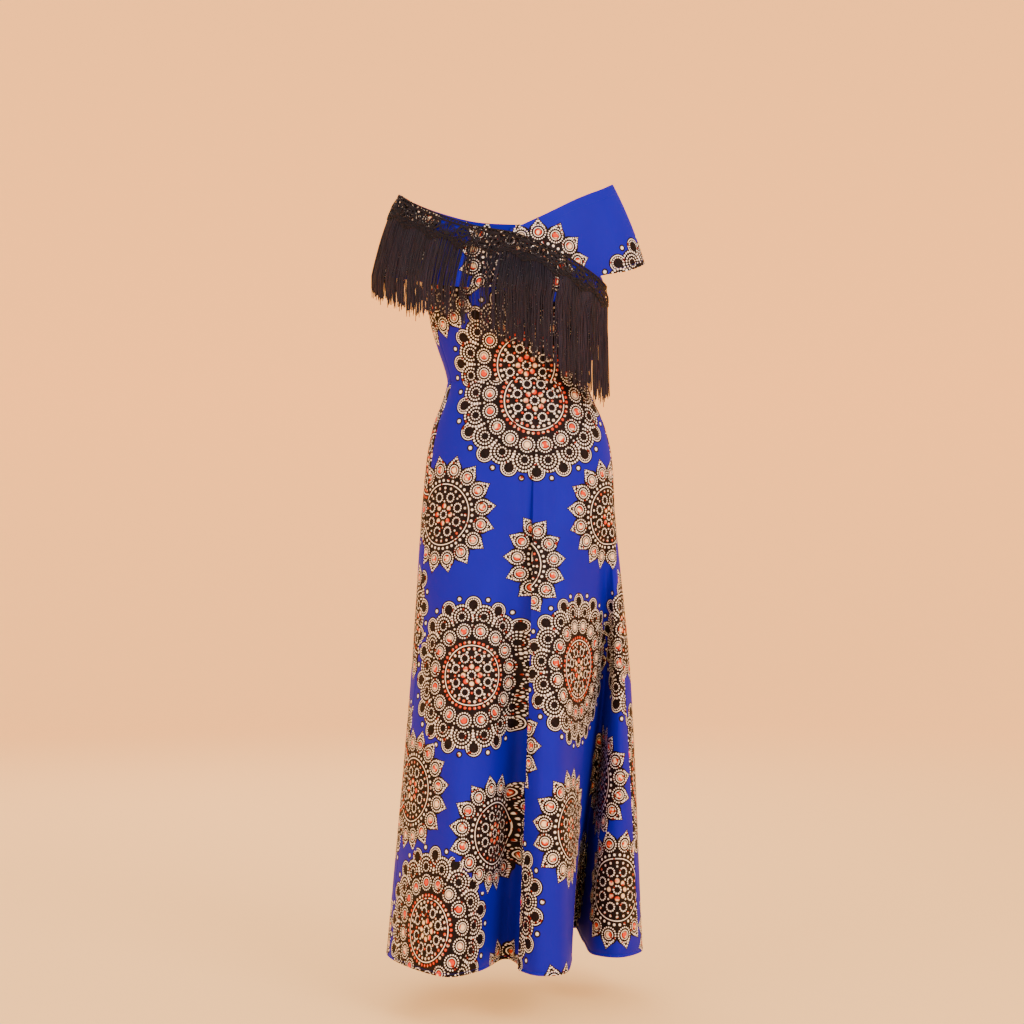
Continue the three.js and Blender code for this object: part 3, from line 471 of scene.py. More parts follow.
LINE_Y = np.array([[f["hem_y"] for f in FOLDS], [f["knee_y"] for f in FOLDS], hips[:, 1], high_hips[:, 1]])


def skirt(along, z):
    """The skirt's surface at a place along the folds and a height."""
    along, z = np.broadcast_arrays(np.asarray(along, float), np.asarray(z, float))
    count = len(FOLDS)
    first = np.floor(along).astype(int)
    share = along - first
    low_z = np.minimum(z, HIP_Z)

    def turned(k):
        return FOLD_AT[(first + k) % count] + 360 * ((first + k) // count)

    def curve(height):
        lines = []
        for k in (-1, 0, 1, 2):
            fold = (first + k) % count
            x = cubic(LINE_HEIGHTS, LINE_X[:, fold], height)
            y = cubic(LINE_HEIGHTS, LINE_Y[:, fold], height)
            lines.append(np.stack([x, y, height], -1))
        return through_four(*lines, share)

    angle = np.radians(mix(turned(0), turned(1), share))
    keep = 1 - smooth((HIP_Z - z) / (HIP_Z - KNEE_Z))
    hip = np.full_like(low_z, HIP_Z)
    point = curve(low_z) + (body(angle, hip) - curve(hip)) * keep[..., None]
    low = (HIP_Z - low_z) / (HIP_Z - HEM_Z)
    rise = mix(FOLD_RISE[first % count], FOLD_RISE[(first + 1) % count], smooth(share))
    point[..., 2] += rise * low**2
    return np.where((z >= HIP_Z)[..., None], body(angle, z), point)


# %% [markdown]
# ## Creases
# Cloth on a figure also has shallow creases, which come and go. Each row of this table is one soft
# trough, or a ridge where its depth is below nothing. It has two ends as seen from the front, a width
# and a depth. It fades out at both ends, and no two are alike. The hidden sides get similar ones.
# A noise texture would be quicker, but it wrinkles the cloth evenly, and real creases start at a cause.

# %% Creases
CREASES = rows(
    ("side", "x1", "z1", "x2", "z2", "width", "depth"),
    [
        ("front", 2, -330, 10, -420, 9, 2.2),
        ("front", 26, -320, 30, -440, 8, 2.0),
        ("front", 46, -310, 52, -450, 10, -2.0),
        ("front", 68, -300, 72, -430, 9, 1.8),
        ("front", -60, -190, -48, -300, 14, 1.6),
        ("front", -104, -300, -122, -420, 12, 1.8),
        ("front", -20, -190, -14, -262, 12, 1.4),
        ("front", 96, -196, 112, -300, 12, 1.6),
        ("front", -150, -520, -166, -760, 18, 3.0),
        ("front", -84, -560, -96, -820, 22, -3.0),
        ("front", -124, -820, -140, -1100, 20, 3.0),
        ("front", 30, -860, 34, -1100, 12, 2.4),
        ("front", 58, -700, 70, -980, 10, -2.0),
        ("front", 170, -780, 190, -1080, 12, 2.6),
        ("front", -100, -96, -40, -128, 10, 1.8),
        ("front", -96, -126, -30, -150, 9, 1.4),
        ("front", 100, -100, 50, -136, 10, 1.6),
        ("front", 96, -132, 44, -152, 8, 1.3),
        ("back", -80, -60, -30, -90, 12, 2.0),
        ("back", 84, -72, 30, -98, 11, 1.8),
        ("back", -92, -118, -34, -138, 9, 1.6),
        ("back", 96, -128, 40, -146, 10, 1.8),
        ("back", -70, -188, -58, -290, 13, 1.8),
        ("back", 64, -192, 54, -276, 12, 1.5),
        ("back", -116, -320, -128, -470, 14, 2.2),
        ("back", 108, -330, 122, -450, 12, 1.8),
        ("back", -20, -420, -26, -640, 16, 2.2),
        ("back", 72, -620, 84, -900, 18, 2.6),
        ("back", -108, -700, -120, -1010, 20, -2.8),
        ("back", 150, -760, 172, -1040, 16, 2.6),
    ],
)


def crease(points):
    """Presses the creases into a grid of points, along its normals."""
    depth = np.zeros(points.shape[:2])
    for row in CREASES:
        start, end = np.array([row["x1"], row["z1"]]), np.array([row["x2"], row["z2"]])
        line = end - start
        away = points[..., [0, 2]] - start
        t = (away @ line) / (line @ line)
        off = np.linalg.norm(away - np.clip(t, 0, 1)[..., None] * line, axis=-1)
        fade = smooth(t / 0.3) * smooth((1 - t) / 0.3)
        facing = rising(points[..., 1] * (-1 if row["side"] == "front" else 1), 0, 40)
        depth += row["depth"] * bump_of(off, row["width"]) * fade * facing
    return points - grid_normals(points) * depth[..., None]


print(len(CREASES), "creases")

# %% [markdown]
# ## Cutting the skirt panels
# The front is one panel and the back is two, with the zip in the middle. Rows lie closer together near
# the waist seam and the hem, where the cloth turns in or is folded up and stitched.

# %% Skirt panels
ROW_STEP = 7.0
COLUMNS_PER_FOLD = 10
FOLD_WIDTH = 60.0  # a fold's usual width, to place the lines near a seam
EDGE_LINES = (0.0, 0.8, 1.7, 3.2)  # extra rows and columns near an edge
HEM_FOLD = 5.0
HEM_RAISE = 0.5
HEM_LINES = (6.4, 5.6, 5.0, 4.2, 2.4, 0.9, 0.0)

TUCK_FOLD = len(FOLDS)  # the front has a tuck along the middle ridge's foot
TUCK = rows(
    ("z", "sunk", "proud"),
    [(-200, 0, 0), (-262, 0, 0), (-420, 9, 3), (-560, 24, 4), (-760, 30, 4), (-950, 22, 4), (-1172, 12, 4)],
)
TUCK_REACH = 0.9  # counted in folds, as the columns' places are
TUCK_CLEAR = 0.32  # the even columns stay this far from the tuck's own
TUCK_COLUMNS = (-0.3, -0.12, -0.05, 0.0, 0.035, 0.075, 0.14, 0.3)


def tuck(along, z):
    """How far the cloth stands out beside the tuck: sunk before its edge, and proud of it after."""
    off = along - TUCK_FOLD
    z = np.minimum(z, TUCK[0]["z"])
    step = rising(off, 0.0, 0.05)
    sunk = -read(TUCK, z, "sunk") * np.where(off < 0.001, np.exp(np.minimum(off, 0) / TUCK_REACH), 1 - step)
    proud = read(TUCK, z, "proud") * step * np.exp(-np.maximum(off, 0) / TUCK_REACH)
    return sunk + proud


def skirt_points(first_fold, last_fold):
    """A skirt panel's outer points before and after the tuck is pushed in, and its columns' places."""
    near = np.array(EDGE_LINES) / FOLD_WIDTH
    inner = np.arange(first_fold + 0.1, last_fold - 0.05, 1 / COLUMNS_PER_FOLD)
    if first_fold < TUCK_FOLD < last_fold:
        inner = inner[np.abs(inner - TUCK_FOLD) > TUCK_CLEAR]
        inner = np.sort(np.concatenate([inner, TUCK_FOLD + np.array(TUCK_COLUMNS)]))
    along = np.concatenate([first_fold + near, inner, last_fold - near[::-1]])
    top = WAIST_Z + SEAM_OVERLAP - np.array(EDGE_LINES)
    middle = np.arange(top[-1] - ROW_STEP / 2, HEM_Z + HEM_LINES[0] + 2, -ROW_STEP)
    heights = np.concatenate([top, middle, HEM_Z + np.array(HEM_LINES)])
    points = skirt(along[None, :], heights[:, None])
    for edge, inward in ((0, 1), (-1, -2)):
        step = points[:, inward] - points[:, edge]
        points[:, edge] -= step / np.linalg.norm(step, axis=-1, keepdims=True) * SEAM_OVERLAP / 2
    points = crease(points)
    folded = np.clip((HEM_FOLD - (heights - HEM_Z)) / 0.8, 0, 1)
    stitched = bump_of(heights - HEM_Z - HEM_FOLD, 0.9) * 0.5
    level = grid_normals(points) * np.array([1, 1, 0])
    level /= np.linalg.norm(level, axis=-1, keepdims=True)
    points += grid_normals(points) * (HEM_RAISE * folded - stitched)[:, None, None]
    points = roll_seams(points, ("first", "last", "top"))
    pushed = points + level * tuck(along[None, :], heights[:, None])[..., None]
    return points, pushed, along


SKIRT_PANELS = rows(
    ("name", "first", "last"),
    [
        ("skirt_front", RIGHT_SEAM_FOLD, len(FOLDS) + LEFT_SEAM_FOLD),
        ("skirt_back_left", LEFT_SEAM_FOLD, BACK_SEAM_FOLD),
        ("skirt_back_right", BACK_SEAM_FOLD, RIGHT_SEAM_FOLD),
    ],
)
for row in SKIRT_PANELS:
    smooth_outer, outer, along = skirt_points(row["first"], row["last"])
    add_panel(row["name"], smooth_outer)
    outers[row["name"]] = outer
    if row["name"] == "skirt_front":
        tuck_column = int(np.argmin(np.abs(along - TUCK_FOLD)))
        panels["skirt_front"].data.vertices.foreach_set("co", outer.ravel() * MM)

# %% [markdown]
# ## The bodice
# The bodice is fitted, with a front and two backs. Its top edge is out of sight under the bands. One tube
# would do for its shape, but the panels let the print break at the seams, as it does on a sewn dress.

# %% Bodice panels
RIGHT_SEAM = -70
LEFT_SEAM = 80
FRONT_TOP_Z = 38
BACK_TOP_Z = 38
BODICE_STEP = 6.0


def bodice_points(start_deg, end_deg):
    """The outer points of a bodice panel between two seams, from its top edge to the waist."""
    seam = SEAM_OVERLAP / 2 / WAIST_HALF_WIDTH
    start, end = math.radians(start_deg) - seam, math.radians(end_deg) + seam
    near = np.array(EDGE_LINES) / WAIST_HALF_WIDTH
    columns = round((end - start) * WAIST_HALF_WIDTH / BODICE_STEP)
    inner = np.linspace(start + 0.05, end - 0.05, columns)
    angle = np.concatenate([start + near, inner, end - near[::-1]])
    front = FRONT_TOP_Z * rising(np.cos(angle), 0.2, 0.7)
    back = BACK_TOP_Z * rising(-np.cos(angle), 0.1, 0.55)
    top = front + back
    share = np.linspace(0, 1, round((FRONT_TOP_Z - WAIST_Z) / BODICE_STEP))[:, None]
    low = WAIST_Z + np.array(EDGE_LINES)[::-1]
    heights = np.concatenate([mix(top, low[0] + 2.5, share), np.repeat(low[:, None], len(angle), 1)])
    points = crease(body(angle[None, :], heights))
    return roll_seams(points, ("first", "last", "low"))


BODICE_PANELS = rows(
    ("name", "start", "end"),
    [
        ("bodice_front", RIGHT_SEAM, LEFT_SEAM),
        ("bodice_back_left", LEFT_SEAM, 180),
        ("bodice_back_right", 180, 360 + RIGHT_SEAM),
    ],
)
for row in BODICE_PANELS:
    add_panel(row["name"], bodice_points(row["start"], row["end"]))

# %% [markdown]
# ## The shoulder bands
# Two wide bands stand off the bodice, from the back seam round each arm to the front. The right one
# crosses the chest over the left one. Each band is a ruled surface between its neckline edge and its
# lower edge, with a slight bulge, pushed clear of the figure and, for the right one, of the left one.
# A bevelled curve could make a band too, but the width and the tilt change all the way round, and two
# edges in a table say that more plainly.

# %% Band tables
RIGHT_BAND = rows(
    ("at", "top", "low"),
    [
        ("back seam", (-0.3, 93, 118), (-0.3, 97, 38.6)),
        ("back", (-70, 84, 121), (-72, 87, 38.6)),
        ("shoulder blade", (-130, 62, 133), (-128, 66, 38.6)),
        ("behind the arm", (-178, 36, 148), (-200, 58, 26)),
        ("outside the arm", (-204, -2, 159), (-250, 2, 17)),
        ("before the arm", (-181, -42, 140), (-220, -58, 8)),
        ("shoulder", (-130, -74, 115), (-160, -90, -4)),
        ("chest", (-68, -92, 93), (-95, -110, -14)),
        ("middle", (2, -98, 79), (-10, -116, -18)),
        ("left chest", (75, -92, 45), (70, -108, -42)),
        ("left bust", (122, -76, 20), (118, -86, -60)),
        ("before the side", (143, -54, 6), (139, -58, -70)),
        ("left side", (154, -26, -5), (151, -24, -76)),
    ],
)
LEFT_BAND = rows(
    ("at", "top", "low"),
    [
        ("back seam", (0.3, 93, 118), (0.3, 97, 38.6)),
        ("back", (70, 84, 122), (72, 87, 38.6)),
        ("shoulder blade", (126, 62, 138), (128, 66, 38.6)),
        ("behind the arm", (158, 36, 160), (188, 56, 44)),
        ("outside the arm", (171, 0, 176), (227, 2, 38)),
        ("before the arm", (150, -42, 163), (194, -42, 20)),
        ("shoulder", (108, -74, 143), (148, -52, 11)),
        ("chest", (52, -92, 114), (95, -98, -12)),
        ("middle", (-8, -97, 85), (25, -112, -24)),
        ("tucked end", (-40, -96, 66), (-24, -112, -14)),
    ],
)
BAND_CLEARANCE = 2.2
BAND_BULGE = 4
BULGE_SIDEWAYS = 0.7
BACK_ROWS = 2
OVERLAP_START = 6
OVERLAP_REACH = 40
OVERLAP_FULL = 18
CROSSING_START = 5.4
PROBE = 1e-3


def line_through(points, u):
    """A smooth line through a table's points, at a place counted in rows."""
    points = np.array(points, float)
    last = len(points) - 1
    ends = np.concatenate([2 * points[:1] - points[1:2], points, 2 * points[-1:] - points[-2:-1]])
    i = np.clip(np.floor(u).astype(int), 0, last - 1)
    return through_four(ends[i], ends[i + 1], ends[i + 2], ends[i + 3], u - i)


def band_surface(table, u, t, settle=lambda points, u: points):
    """A band's outer surface, at u rows along its table and a share t of the way down."""
    u, t = np.broadcast_arrays(np.asarray(u, float), np.asarray(t, float))
    top = line_through([row["top"] for row in table], u)
    low = line_through([row["low"] for row in table], u)
    point = mix(top, low, t[..., None])
    away = point * np.array([BULGE_SIDEWAYS, 1, 0])
    away /= np.linalg.norm(away, axis=-1, keepdims=True)
    point = point + away * (BAND_BULGE * 4 * t * (1 - t) * smooth(u))[..., None]
    lift = (CLOTH + BAND_CLEARANCE) * rising(u, BACK_ROWS - 0.6, BACK_ROWS)
    return settle(clear_of_figure(point, lift), u)


def crossed_places():
    """Places and normals on the left band's outer face, where the right one may cover it."""
    u = np.arange(CROSSING_START, len(LEFT_BAND) - 1 + 1e-9, 0.05)[:, None]
    t = np.linspace(0, 1, 41)[None, :]
    here = band_surface(LEFT_BAND, u, t)
    down = band_surface(LEFT_BAND, u, t + PROBE) - here
    ahead = band_surface(LEFT_BAND, u + PROBE, t) - here
    normals = -np.cross(down, ahead)
    normals /= np.linalg.norm(normals, axis=-1, keepdims=True)
    return here.reshape(-1, 3), normals.reshape(-1, 3)


CROSSED, CROSSED_NORMALS = crossed_places()


def clear_of_left_band(points, u):
    """Moves points of the right band forward, where they must, until they clear the left band."""
    flat = points.reshape(-1, 3)
    moved = flat.copy()
    covers = (np.broadcast_to(u, points.shape[:-1]).ravel() > OVERLAP_START) & (flat[:, 1] < 0)
    for k in np.flatnonzero(covers):
        away = np.hypot(CROSSED[:, 0] - flat[k, 0], CROSSED[:, 2] - flat[k, 2])
        nearest = int(np.argmin(away))
        if away[nearest] > OVERLAP_REACH:
            continue
        on, normal = CROSSED[nearest], CROSSED_NORMALS[nearest]
        level = on[1] - (normal[0] * (flat[k, 0] - on[0]) + normal[2] * (flat[k, 2] - on[2])) / normal[1]
        fade = smooth((OVERLAP_REACH - np.linalg.norm(on - flat[k])) / (OVERLAP_REACH - OVERLAP_FULL))
        wanted = level - (CLOTH + BAND_CLEARANCE) / abs(normal[1])
        if flat[k, 1] > wanted:
            moved[k, 1] = mix(flat[k, 1], wanted, fade)
    return moved.reshape(points.shape)


# %% Band panels
BAND_COLUMNS = 14
BAND_ROWS = 18


def band_points(table, settle=lambda points, u: points):
    """A band's outer points, eased a little so that its overlap is soft."""
    u = np.linspace(0, len(table) - 1, (len(table) - 1) * BAND_COLUMNS + 1)[None, :]
    t = np.linspace(0, 1, BAND_ROWS + 1)[:, None]
    points = band_surface(table, u, t, settle)
    for _ in range(3):
        eased = points.copy()
        eased[:, 1:-1] = (points[:, :-2] + 2 * points[:, 1:-1] + points[:, 2:]) / 4
        points = eased
    return points


right_points = band_points(RIGHT_BAND, clear_of_left_band)
left_points = band_points(LEFT_BAND)


def place(band, s, d, lift):
    """Points on a band, s along its neckline edge and d down, lifted off the cloth, and their normals."""
    s, d, lift = np.broadcast_arrays(*(np.asarray(v, float) for v in (s, d, lift)))
    reach = lengths_along(band[:1], 1)[0]
    column = np.interp(s, reach, np.arange(len(reach)))
    widths = np.linalg.norm(np.diff(band, axis=0), axis=-1).sum(0)
    row = d / np.interp(column, np.arange(len(reach)), widths) * BAND_ROWS
    normals = grid_normals(band)
    j = np.clip(np.floor(column).astype(int), 0, band.shape[1] - 2)
    i = np.clip(np.floor(row).astype(int), 0, band.shape[0] - 2)
    across, down = (column - j)[..., None], (row - i)[..., None]

    def between(layer):
        upper = mix(layer[i, j], layer[i, j + 1], across)
        lower = mix(layer[i + 1, j], layer[i + 1, j + 1], across)
        return mix(upper, lower, down)

    normal = between(normals)
    normal = normal / np.linalg.norm(normal, axis=-1, keepdims=True)
    return between(band) + normal * lift[..., None], normal


add_panel("shoulder_band_right", right_points)
add_panel("shoulder_band_left", left_points[:, ::-1])

# %% [markdown]
# ## One way to add a node
# Every tree in this lesson, for shapes and for finishes, is built with one small function. It takes the
# node's kind, its inputs by name or number, and its settings. An input is a value or another node's
# output, so a tree reads from top to bottom like a recipe.

# %% Adding nodes
MATH = "ShaderNodeMath"  # the kind that the print uses most


def add_node(tree, kind, inputs=(), **settings):
    """Adds one node with its settings. An input, by name or number, is a value or another node's socket."""
    node = tree.nodes.new(kind)
    for key, value in settings.items():
        setattr(node, key, value)
    for key, value in dict(inputs).items():
        if isinstance(value, bpy.types.NodeSocket):
            tree.links.new(value, node.inputs[key])
        else:
            node.inputs[key].default_value = value
    return node


def new_tree(name, kind, inputs, outputs):
    """A node group with named inputs and outputs: each one's kind, and each input's first value."""
    tree = bpy.data.node_groups.new(name, kind)
    for label, socket_kind in outputs.items():
        tree.interface.new_socket(label, in_out="OUTPUT", socket_type="NodeSocket" + socket_kind)
    for label, (socket_kind, value) in inputs.items():
        socket = tree.interface.new_socket(label, in_out="INPUT", socket_type="NodeSocket" + socket_kind)
        if value is not None:
            socket.default_value = value
    return tree, tree.nodes.new("NodeGroupInput").outputs, tree.nodes.new("NodeGroupOutput").inputs


def new_finish(name):
    """A material, with its node tree and the shader in it."""
    material = bpy.data.materials.new(name)
    material.use_nodes = True
    return material, material.node_tree, material.node_tree.nodes["Principled BSDF"]


# %% [markdown]
# ## The print's three marks
# The print is a wax print of a common kind: dotted rosettes on deep blue. An image texture would need a
# file and would blur close up, so the print is drawn by formula. All its marks sit on rings, so one group
# turns the plane into a single sector of a ring and moves the ring's radius to nought. With that, a ring
# of any number of dots is one dot, drawn once. A second group draws a dot on a ring, and a third a plain
# circle, which is a disc when its radius is nought.

# %% Sector, dots and circle
def sector_group():
    """Folds the plane into one sector: its local place, the sector's number and the distance outwards."""
    tree, enter, leave = new_tree(
        "print_sector",
        "ShaderNodeTree",
        {"Place": ("Vector", None), "Count": ("Float", 8.0), "Turn": ("Float", 0.0), "Out": ("Float", 0.0)},
        {"Local": "Vector", "Number": "Float", "Reach": "Float"},
    )
    parts = add_node(tree, "ShaderNodeSeparateXYZ", {0: enter["Place"]}).outputs
    radius = add_node(tree, "ShaderNodeVectorMath", {0: enter["Place"]}, operation="LENGTH").outputs["Value"]
    angle = add_node(tree, MATH, {0: parts[1], 1: parts[0]}, operation="ARCTAN2").outputs[0]
    step = add_node(tree, MATH, {0: 2 * math.pi, 1: enter["Count"]}, operation="DIVIDE").outputs[0]
    turns = add_node(tree, MATH, {0: angle, 1: step}, operation="DIVIDE").outputs[0]
    eased = add_node(tree, MATH, {0: turns, 1: enter["Turn"]}, operation="SUBTRACT").outputs[0]
    number = add_node(tree, MATH, {0: eased}, operation="ROUND").outputs[0]
    inside = add_node(tree, MATH, {0: eased, 1: number}, operation="SUBTRACT").outputs[0]
    local_angle = add_node(tree, MATH, {0: inside, 1: step}, operation="MULTIPLY").outputs[0]
    cosine = add_node(tree, MATH, {0: local_angle}, operation="COSINE").outputs[0]
    sine = add_node(tree, MATH, {0: local_angle}, operation="SINE").outputs[0]
    reach = add_node(tree, MATH, {0: radius, 1: cosine}, operation="MULTIPLY").outputs[0]
    aside = add_node(tree, MATH, {0: radius, 1: sine}, operation="MULTIPLY").outputs[0]
    away = add_node(tree, MATH, {0: reach, 1: enter["Out"]}, operation="SUBTRACT").outputs[0]
    local = add_node(tree, "ShaderNodeCombineXYZ", {0: away, 1: aside})
    whole = add_node(tree, MATH, {0: number, 1: enter["Count"]}, operation="FLOORED_MODULO")
    tree.links.new(local.outputs[0], leave["Local"])
    tree.links.new(whole.outputs[0], leave["Number"])
    tree.links.new(reach, leave["Reach"])
    return tree


SECTOR = sector_group()


def mark_group(name, dotted):
    """A mark of a size at a radius: a ring of dots, or a plain circle."""
    inputs = {"Place": ("Vector", None), "Radius": ("Float", 0.0)}
    inputs |= {"Size": ("Float", 0.01), "Soft": ("Float", 0.25)}
    inputs |= {"Count": ("Float", 8.0), "Turn": ("Float", 0.0)} if dotted else {}
    tree, enter, leave = new_tree(name, "ShaderNodeTree", inputs, {"Mask": "Float"})
    spot = enter["Place"]
    if dotted:
        taken = {key: enter[key] for key in ("Place", "Count", "Turn")}
        folded = add_node(tree, "ShaderNodeGroup", node_tree=SECTOR)
        for key, socket in (taken | {"Out": enter["Radius"]}).items():
            tree.links.new(socket, folded.inputs[key])
        spot = folded.outputs["Local"]
    away = add_node(tree, "ShaderNodeVectorMath", {0: spot}, operation="LENGTH").outputs["Value"]
    if not dotted:
        off = add_node(tree, MATH, {0: away, 1: enter["Radius"]}, operation="SUBTRACT").outputs[0]
        away = add_node(tree, MATH, {0: off}, operation="ABSOLUTE").outputs[0]
    share = add_node(tree, MATH, {0: away, 1: enter["Size"]}, operation="DIVIDE").outputs[0]
    full = add_node(tree, MATH, {0: 1.0, 1: enter["Soft"]}, operation="SUBTRACT").outputs[0]
    gone = add_node(tree, MATH, {0: 1.0, 1: enter["Soft"]}, operation="ADD").outputs[0]
    fade = {0: share, 1: full, 2: gone, 3: 1.0, 4: 0.0}
    mask = add_node(tree, "ShaderNodeMapRange", fade, clamp=True)
    tree.links.new(mask.outputs[0], leave["Mask"])
    return tree


DOTS = mark_group("print_dots", True)
CIRCLE = mark_group("print_circle", False)
PETAL_HALF_ANGLE = 38  # at its tip, in degrees
PETAL_DOT_PITCH = 0.045
PETAL_DOT_SIZE = 0.0155
PETAL_DOT_IN = 0.032  # from the petal's side to the row of dots


def petal_group():
    """A pointed petal: its dark ground, and the dots along its two sides."""
    tree, enter, leave = new_tree(
        "print_petal",
        "ShaderNodeTree",
        {"Place": ("Vector", None), "Tip": ("Float", 1.055), "Round": ("Float", 0.876)},
        {"Ground": "Float", "Dots": "Float"},
    )
    parts = add_node(tree, "ShaderNodeSeparateXYZ", {0: enter["Place"]}).outputs
    aside = add_node(tree, MATH, {0: parts[1]}, operation="ABSOLUTE").outputs[0]
    back = add_node(tree, MATH, {0: enter["Tip"], 1: parts[0]}, operation="SUBTRACT").outputs[0]
    here = add_node(tree, MATH, {0: parts[0], 1: enter["Round"]}, operation="GREATER_THAN").outputs[0]
    half_angle = math.radians(PETAL_HALF_ANGLE)
    back_in = add_node(tree, MATH, {0: back, 1: math.sin(half_angle)}, operation="MULTIPLY").outputs[0]
    side_in = add_node(tree, MATH, {0: aside, 1: math.cos(half_angle)}, operation="MULTIPLY").outputs[0]
    inside = add_node(tree, MATH, {0: back_in, 1: side_in}, operation="SUBTRACT").outputs[0]
    back_on = add_node(tree, MATH, {0: back, 1: math.cos(half_angle)}, operation="MULTIPLY").outputs[0]
    side_on = add_node(tree, MATH, {0: aside, 1: math.sin(half_angle)}, operation="MULTIPLY").outputs[0]
    on = add_node(tree, MATH, {0: back_on, 1: side_on}, operation="ADD").outputs[0]
    edge = {0: inside, 1: -0.004, 2: 0.008, 3: 0.0, 4: 1.0}
    ground = add_node(tree, "ShaderNodeMapRange", edge, clamp=True)
    wrapped = add_node(tree, MATH, {0: on, 1: PETAL_DOT_PITCH}, operation="FLOORED_MODULO").outputs[0]
    along = add_node(tree, MATH, {0: wrapped, 1: PETAL_DOT_PITCH / 2}, operation="SUBTRACT").outputs[0]
    off = add_node(tree, MATH, {0: inside, 1: PETAL_DOT_IN}, operation="SUBTRACT").outputs[0]
    spot = add_node(tree, "ShaderNodeCombineXYZ", {0: along, 1: off}).outputs[0]
    drawn = {"Place": spot, "Size": PETAL_DOT_SIZE}
    dot = add_node(tree, "ShaderNodeGroup", drawn, node_tree=CIRCLE).outputs[0]
    for label, mask in (("Ground", ground.outputs[0]), ("Dots", dot)):
        kept = add_node(tree, MATH, {0: mask, 1: here}, operation="MULTIPLY")
        tree.links.new(kept.outputs[0], leave[label])
    return tree


PETAL = petal_group()
print("print groups:", [tree.name for tree in (SECTOR, DOTS, CIRCLE, PETAL)])

# %% [markdown]
# ## The two rosettes
# Sizes are shares of the rosette's radius. The first table gives the local places that marks are drawn
# about: the middle, and the sectors of its rings. The second gives the marks: where there is no count it
# is a plain circle, or a disc at radius nought. Five inks are used: the dark ground, white, a warm red,
# a mix of the two, and the gems, which run from cream to red. The large rosette ends in fans and
# scallops, and the small one in pointed petals.

# %% Rosette tables
ROSETTE_RADIUS = {"large": 142.0, "small": 102.0}
PLACES = rows(
    ("rosette", "about", "sectors", "turn", "out"),
    [
        ("large", "middle", 8, 0.0, 0.0),
        ("large", "eight", 8, 0.5, 0.228),
        ("large", "jewel", 16, 0.5, 0.565),
        ("large", "fan", 16, 0.5, 0.755),
        ("large", "bead", 16, 0.5, 0.985),
        ("large", "scallop", 16, 0.0, 0.90),
        ("small", "middle", 8, 0.0, 0.0),
        ("small", "eight", 8, 0.5, 0.32),
        ("small", "jewel", 16, 0.5, 0.785),
    ],
)
MARKS = rows(
    ("rosette", "about", "radius", "size", "count", "turn", "ink", "beyond"),
    [
        ("large", "middle", 0, 0.86, 0, 0, "ground", 0),
        ("large", "scallop", 0, 0.119, 0, 0, "ground", 0),
        ("large", "fan", 0, 0.171, 0, 0, "ground", 0),
        ("large", "bead", 0, 0.043, 0, 0, "ground", 0),
        ("large", "middle", 0.050, 0.0105, 10, 0, "light", 0),
        ("large", "middle", 0.108, 0.029, 8, 0, "gem", 0),
        ("large", "eight", 0.050, 0.0092, 13, 0, "light", 0),
        ("large", "middle", 0.165, 0.012, 8, 0, "light", 0),
        ("large", "middle", 0.222, 0.013, 8, 0, "warm", 0),
        ("large", "middle", 0.290, 0.014, 16, 0.5, "light", 0),
        ("large", "middle", 0.333, 0.017, 30, 0, "mixed", 0),
        ("large", "middle", 0.375, 0.0055, 0, 0, "light", 0),
        ("large", "middle", 0.414, 0.017, 42, 0, "warm", 0),
        ("large", "jewel", 0, 0.038, 0, 0, "gem", 0),
        ("large", "jewel", 0.055, 0.0040, 0, 0, "light", 0),
        ("large", "jewel", 0.090, 0.0092, 18, 0, "light", 0),
        ("large", "fan", 0.054, 0.0085, 11, 0, "light", 0),
        ("large", "fan", 0.097, 0.0108, 17, 0, "light", 0.69),
        ("large", "fan", 0.142, 0.0124, 23, 0, "light", 0.69),
        ("large", "bead", 0, 0.021, 0, 0, "light", 0),
        ("large", "scallop", 0.096, 0.0048, 0, 0, "light", 0.875),
        ("large", "scallop", 0.070, 0.0080, 16, 0, "light", 0.875),
        ("large", "scallop", 0.27, 0.011, 1, 0.5, "light", 0),
        ("large", "scallop", 0.215, 0.011, 1, 0.5, "light", 0),
        ("large", "scallop", 0.155, 0.010, 1, 0.5, "light", 0),
        ("small", "middle", 0, 0.70, 0, 0, "ground", 0),
        ("small", "jewel", 0, 0.177, 0, 0, "ground", 0),
        ("small", "middle", 0.066, 0.014, 10, 0, "light", 0),
        ("small", "middle", 0.152, 0.038, 8, 0, "gem", 0),
        ("small", "middle", 0.232, 0.016, 8, 0, "light", 0),
        ("small", "eight", 0.073, 0.0135, 12, 0, "light", 0),
        ("small", "middle", 0.395, 0.016, 8, 0, "light", 0),
        ("small", "middle", 0.462, 0.0205, 24, 0, "mixed", 0),
        ("small", "middle", 0.530, 0.0075, 0, 0, "light", 0),
        ("small", "middle", 0.595, 0.0225, 38, 0, "light", 0),
        ("small", "jewel", 0, 0.052, 0, 0, "gem", 0),
        ("small", "jewel", 0.079, 0.0060, 0, 0, "light", 0),
        ("small", "jewel", 0.128, 0.0125, 19, 0, "light", 0),
    ],
)
INKS = rows(
    ("ink", "first", "second", "some"),
    [
        ("ground", "#080408", "#12090F", 0.5),
        ("light", "#FFFFFF", "#9A2A18", 0.93),
        ("warm", "#D8401C", "#F4D9C0", 0.72),
        ("mixed", "#F6EDE4", "#E0562A", 0.6),
        ("gem", "#DE3A14", "#FFE9C4", None),
    ],
)
GROUND_SOFT = 0.02  # the ground's edges are crisp, and the dots' edges are soft


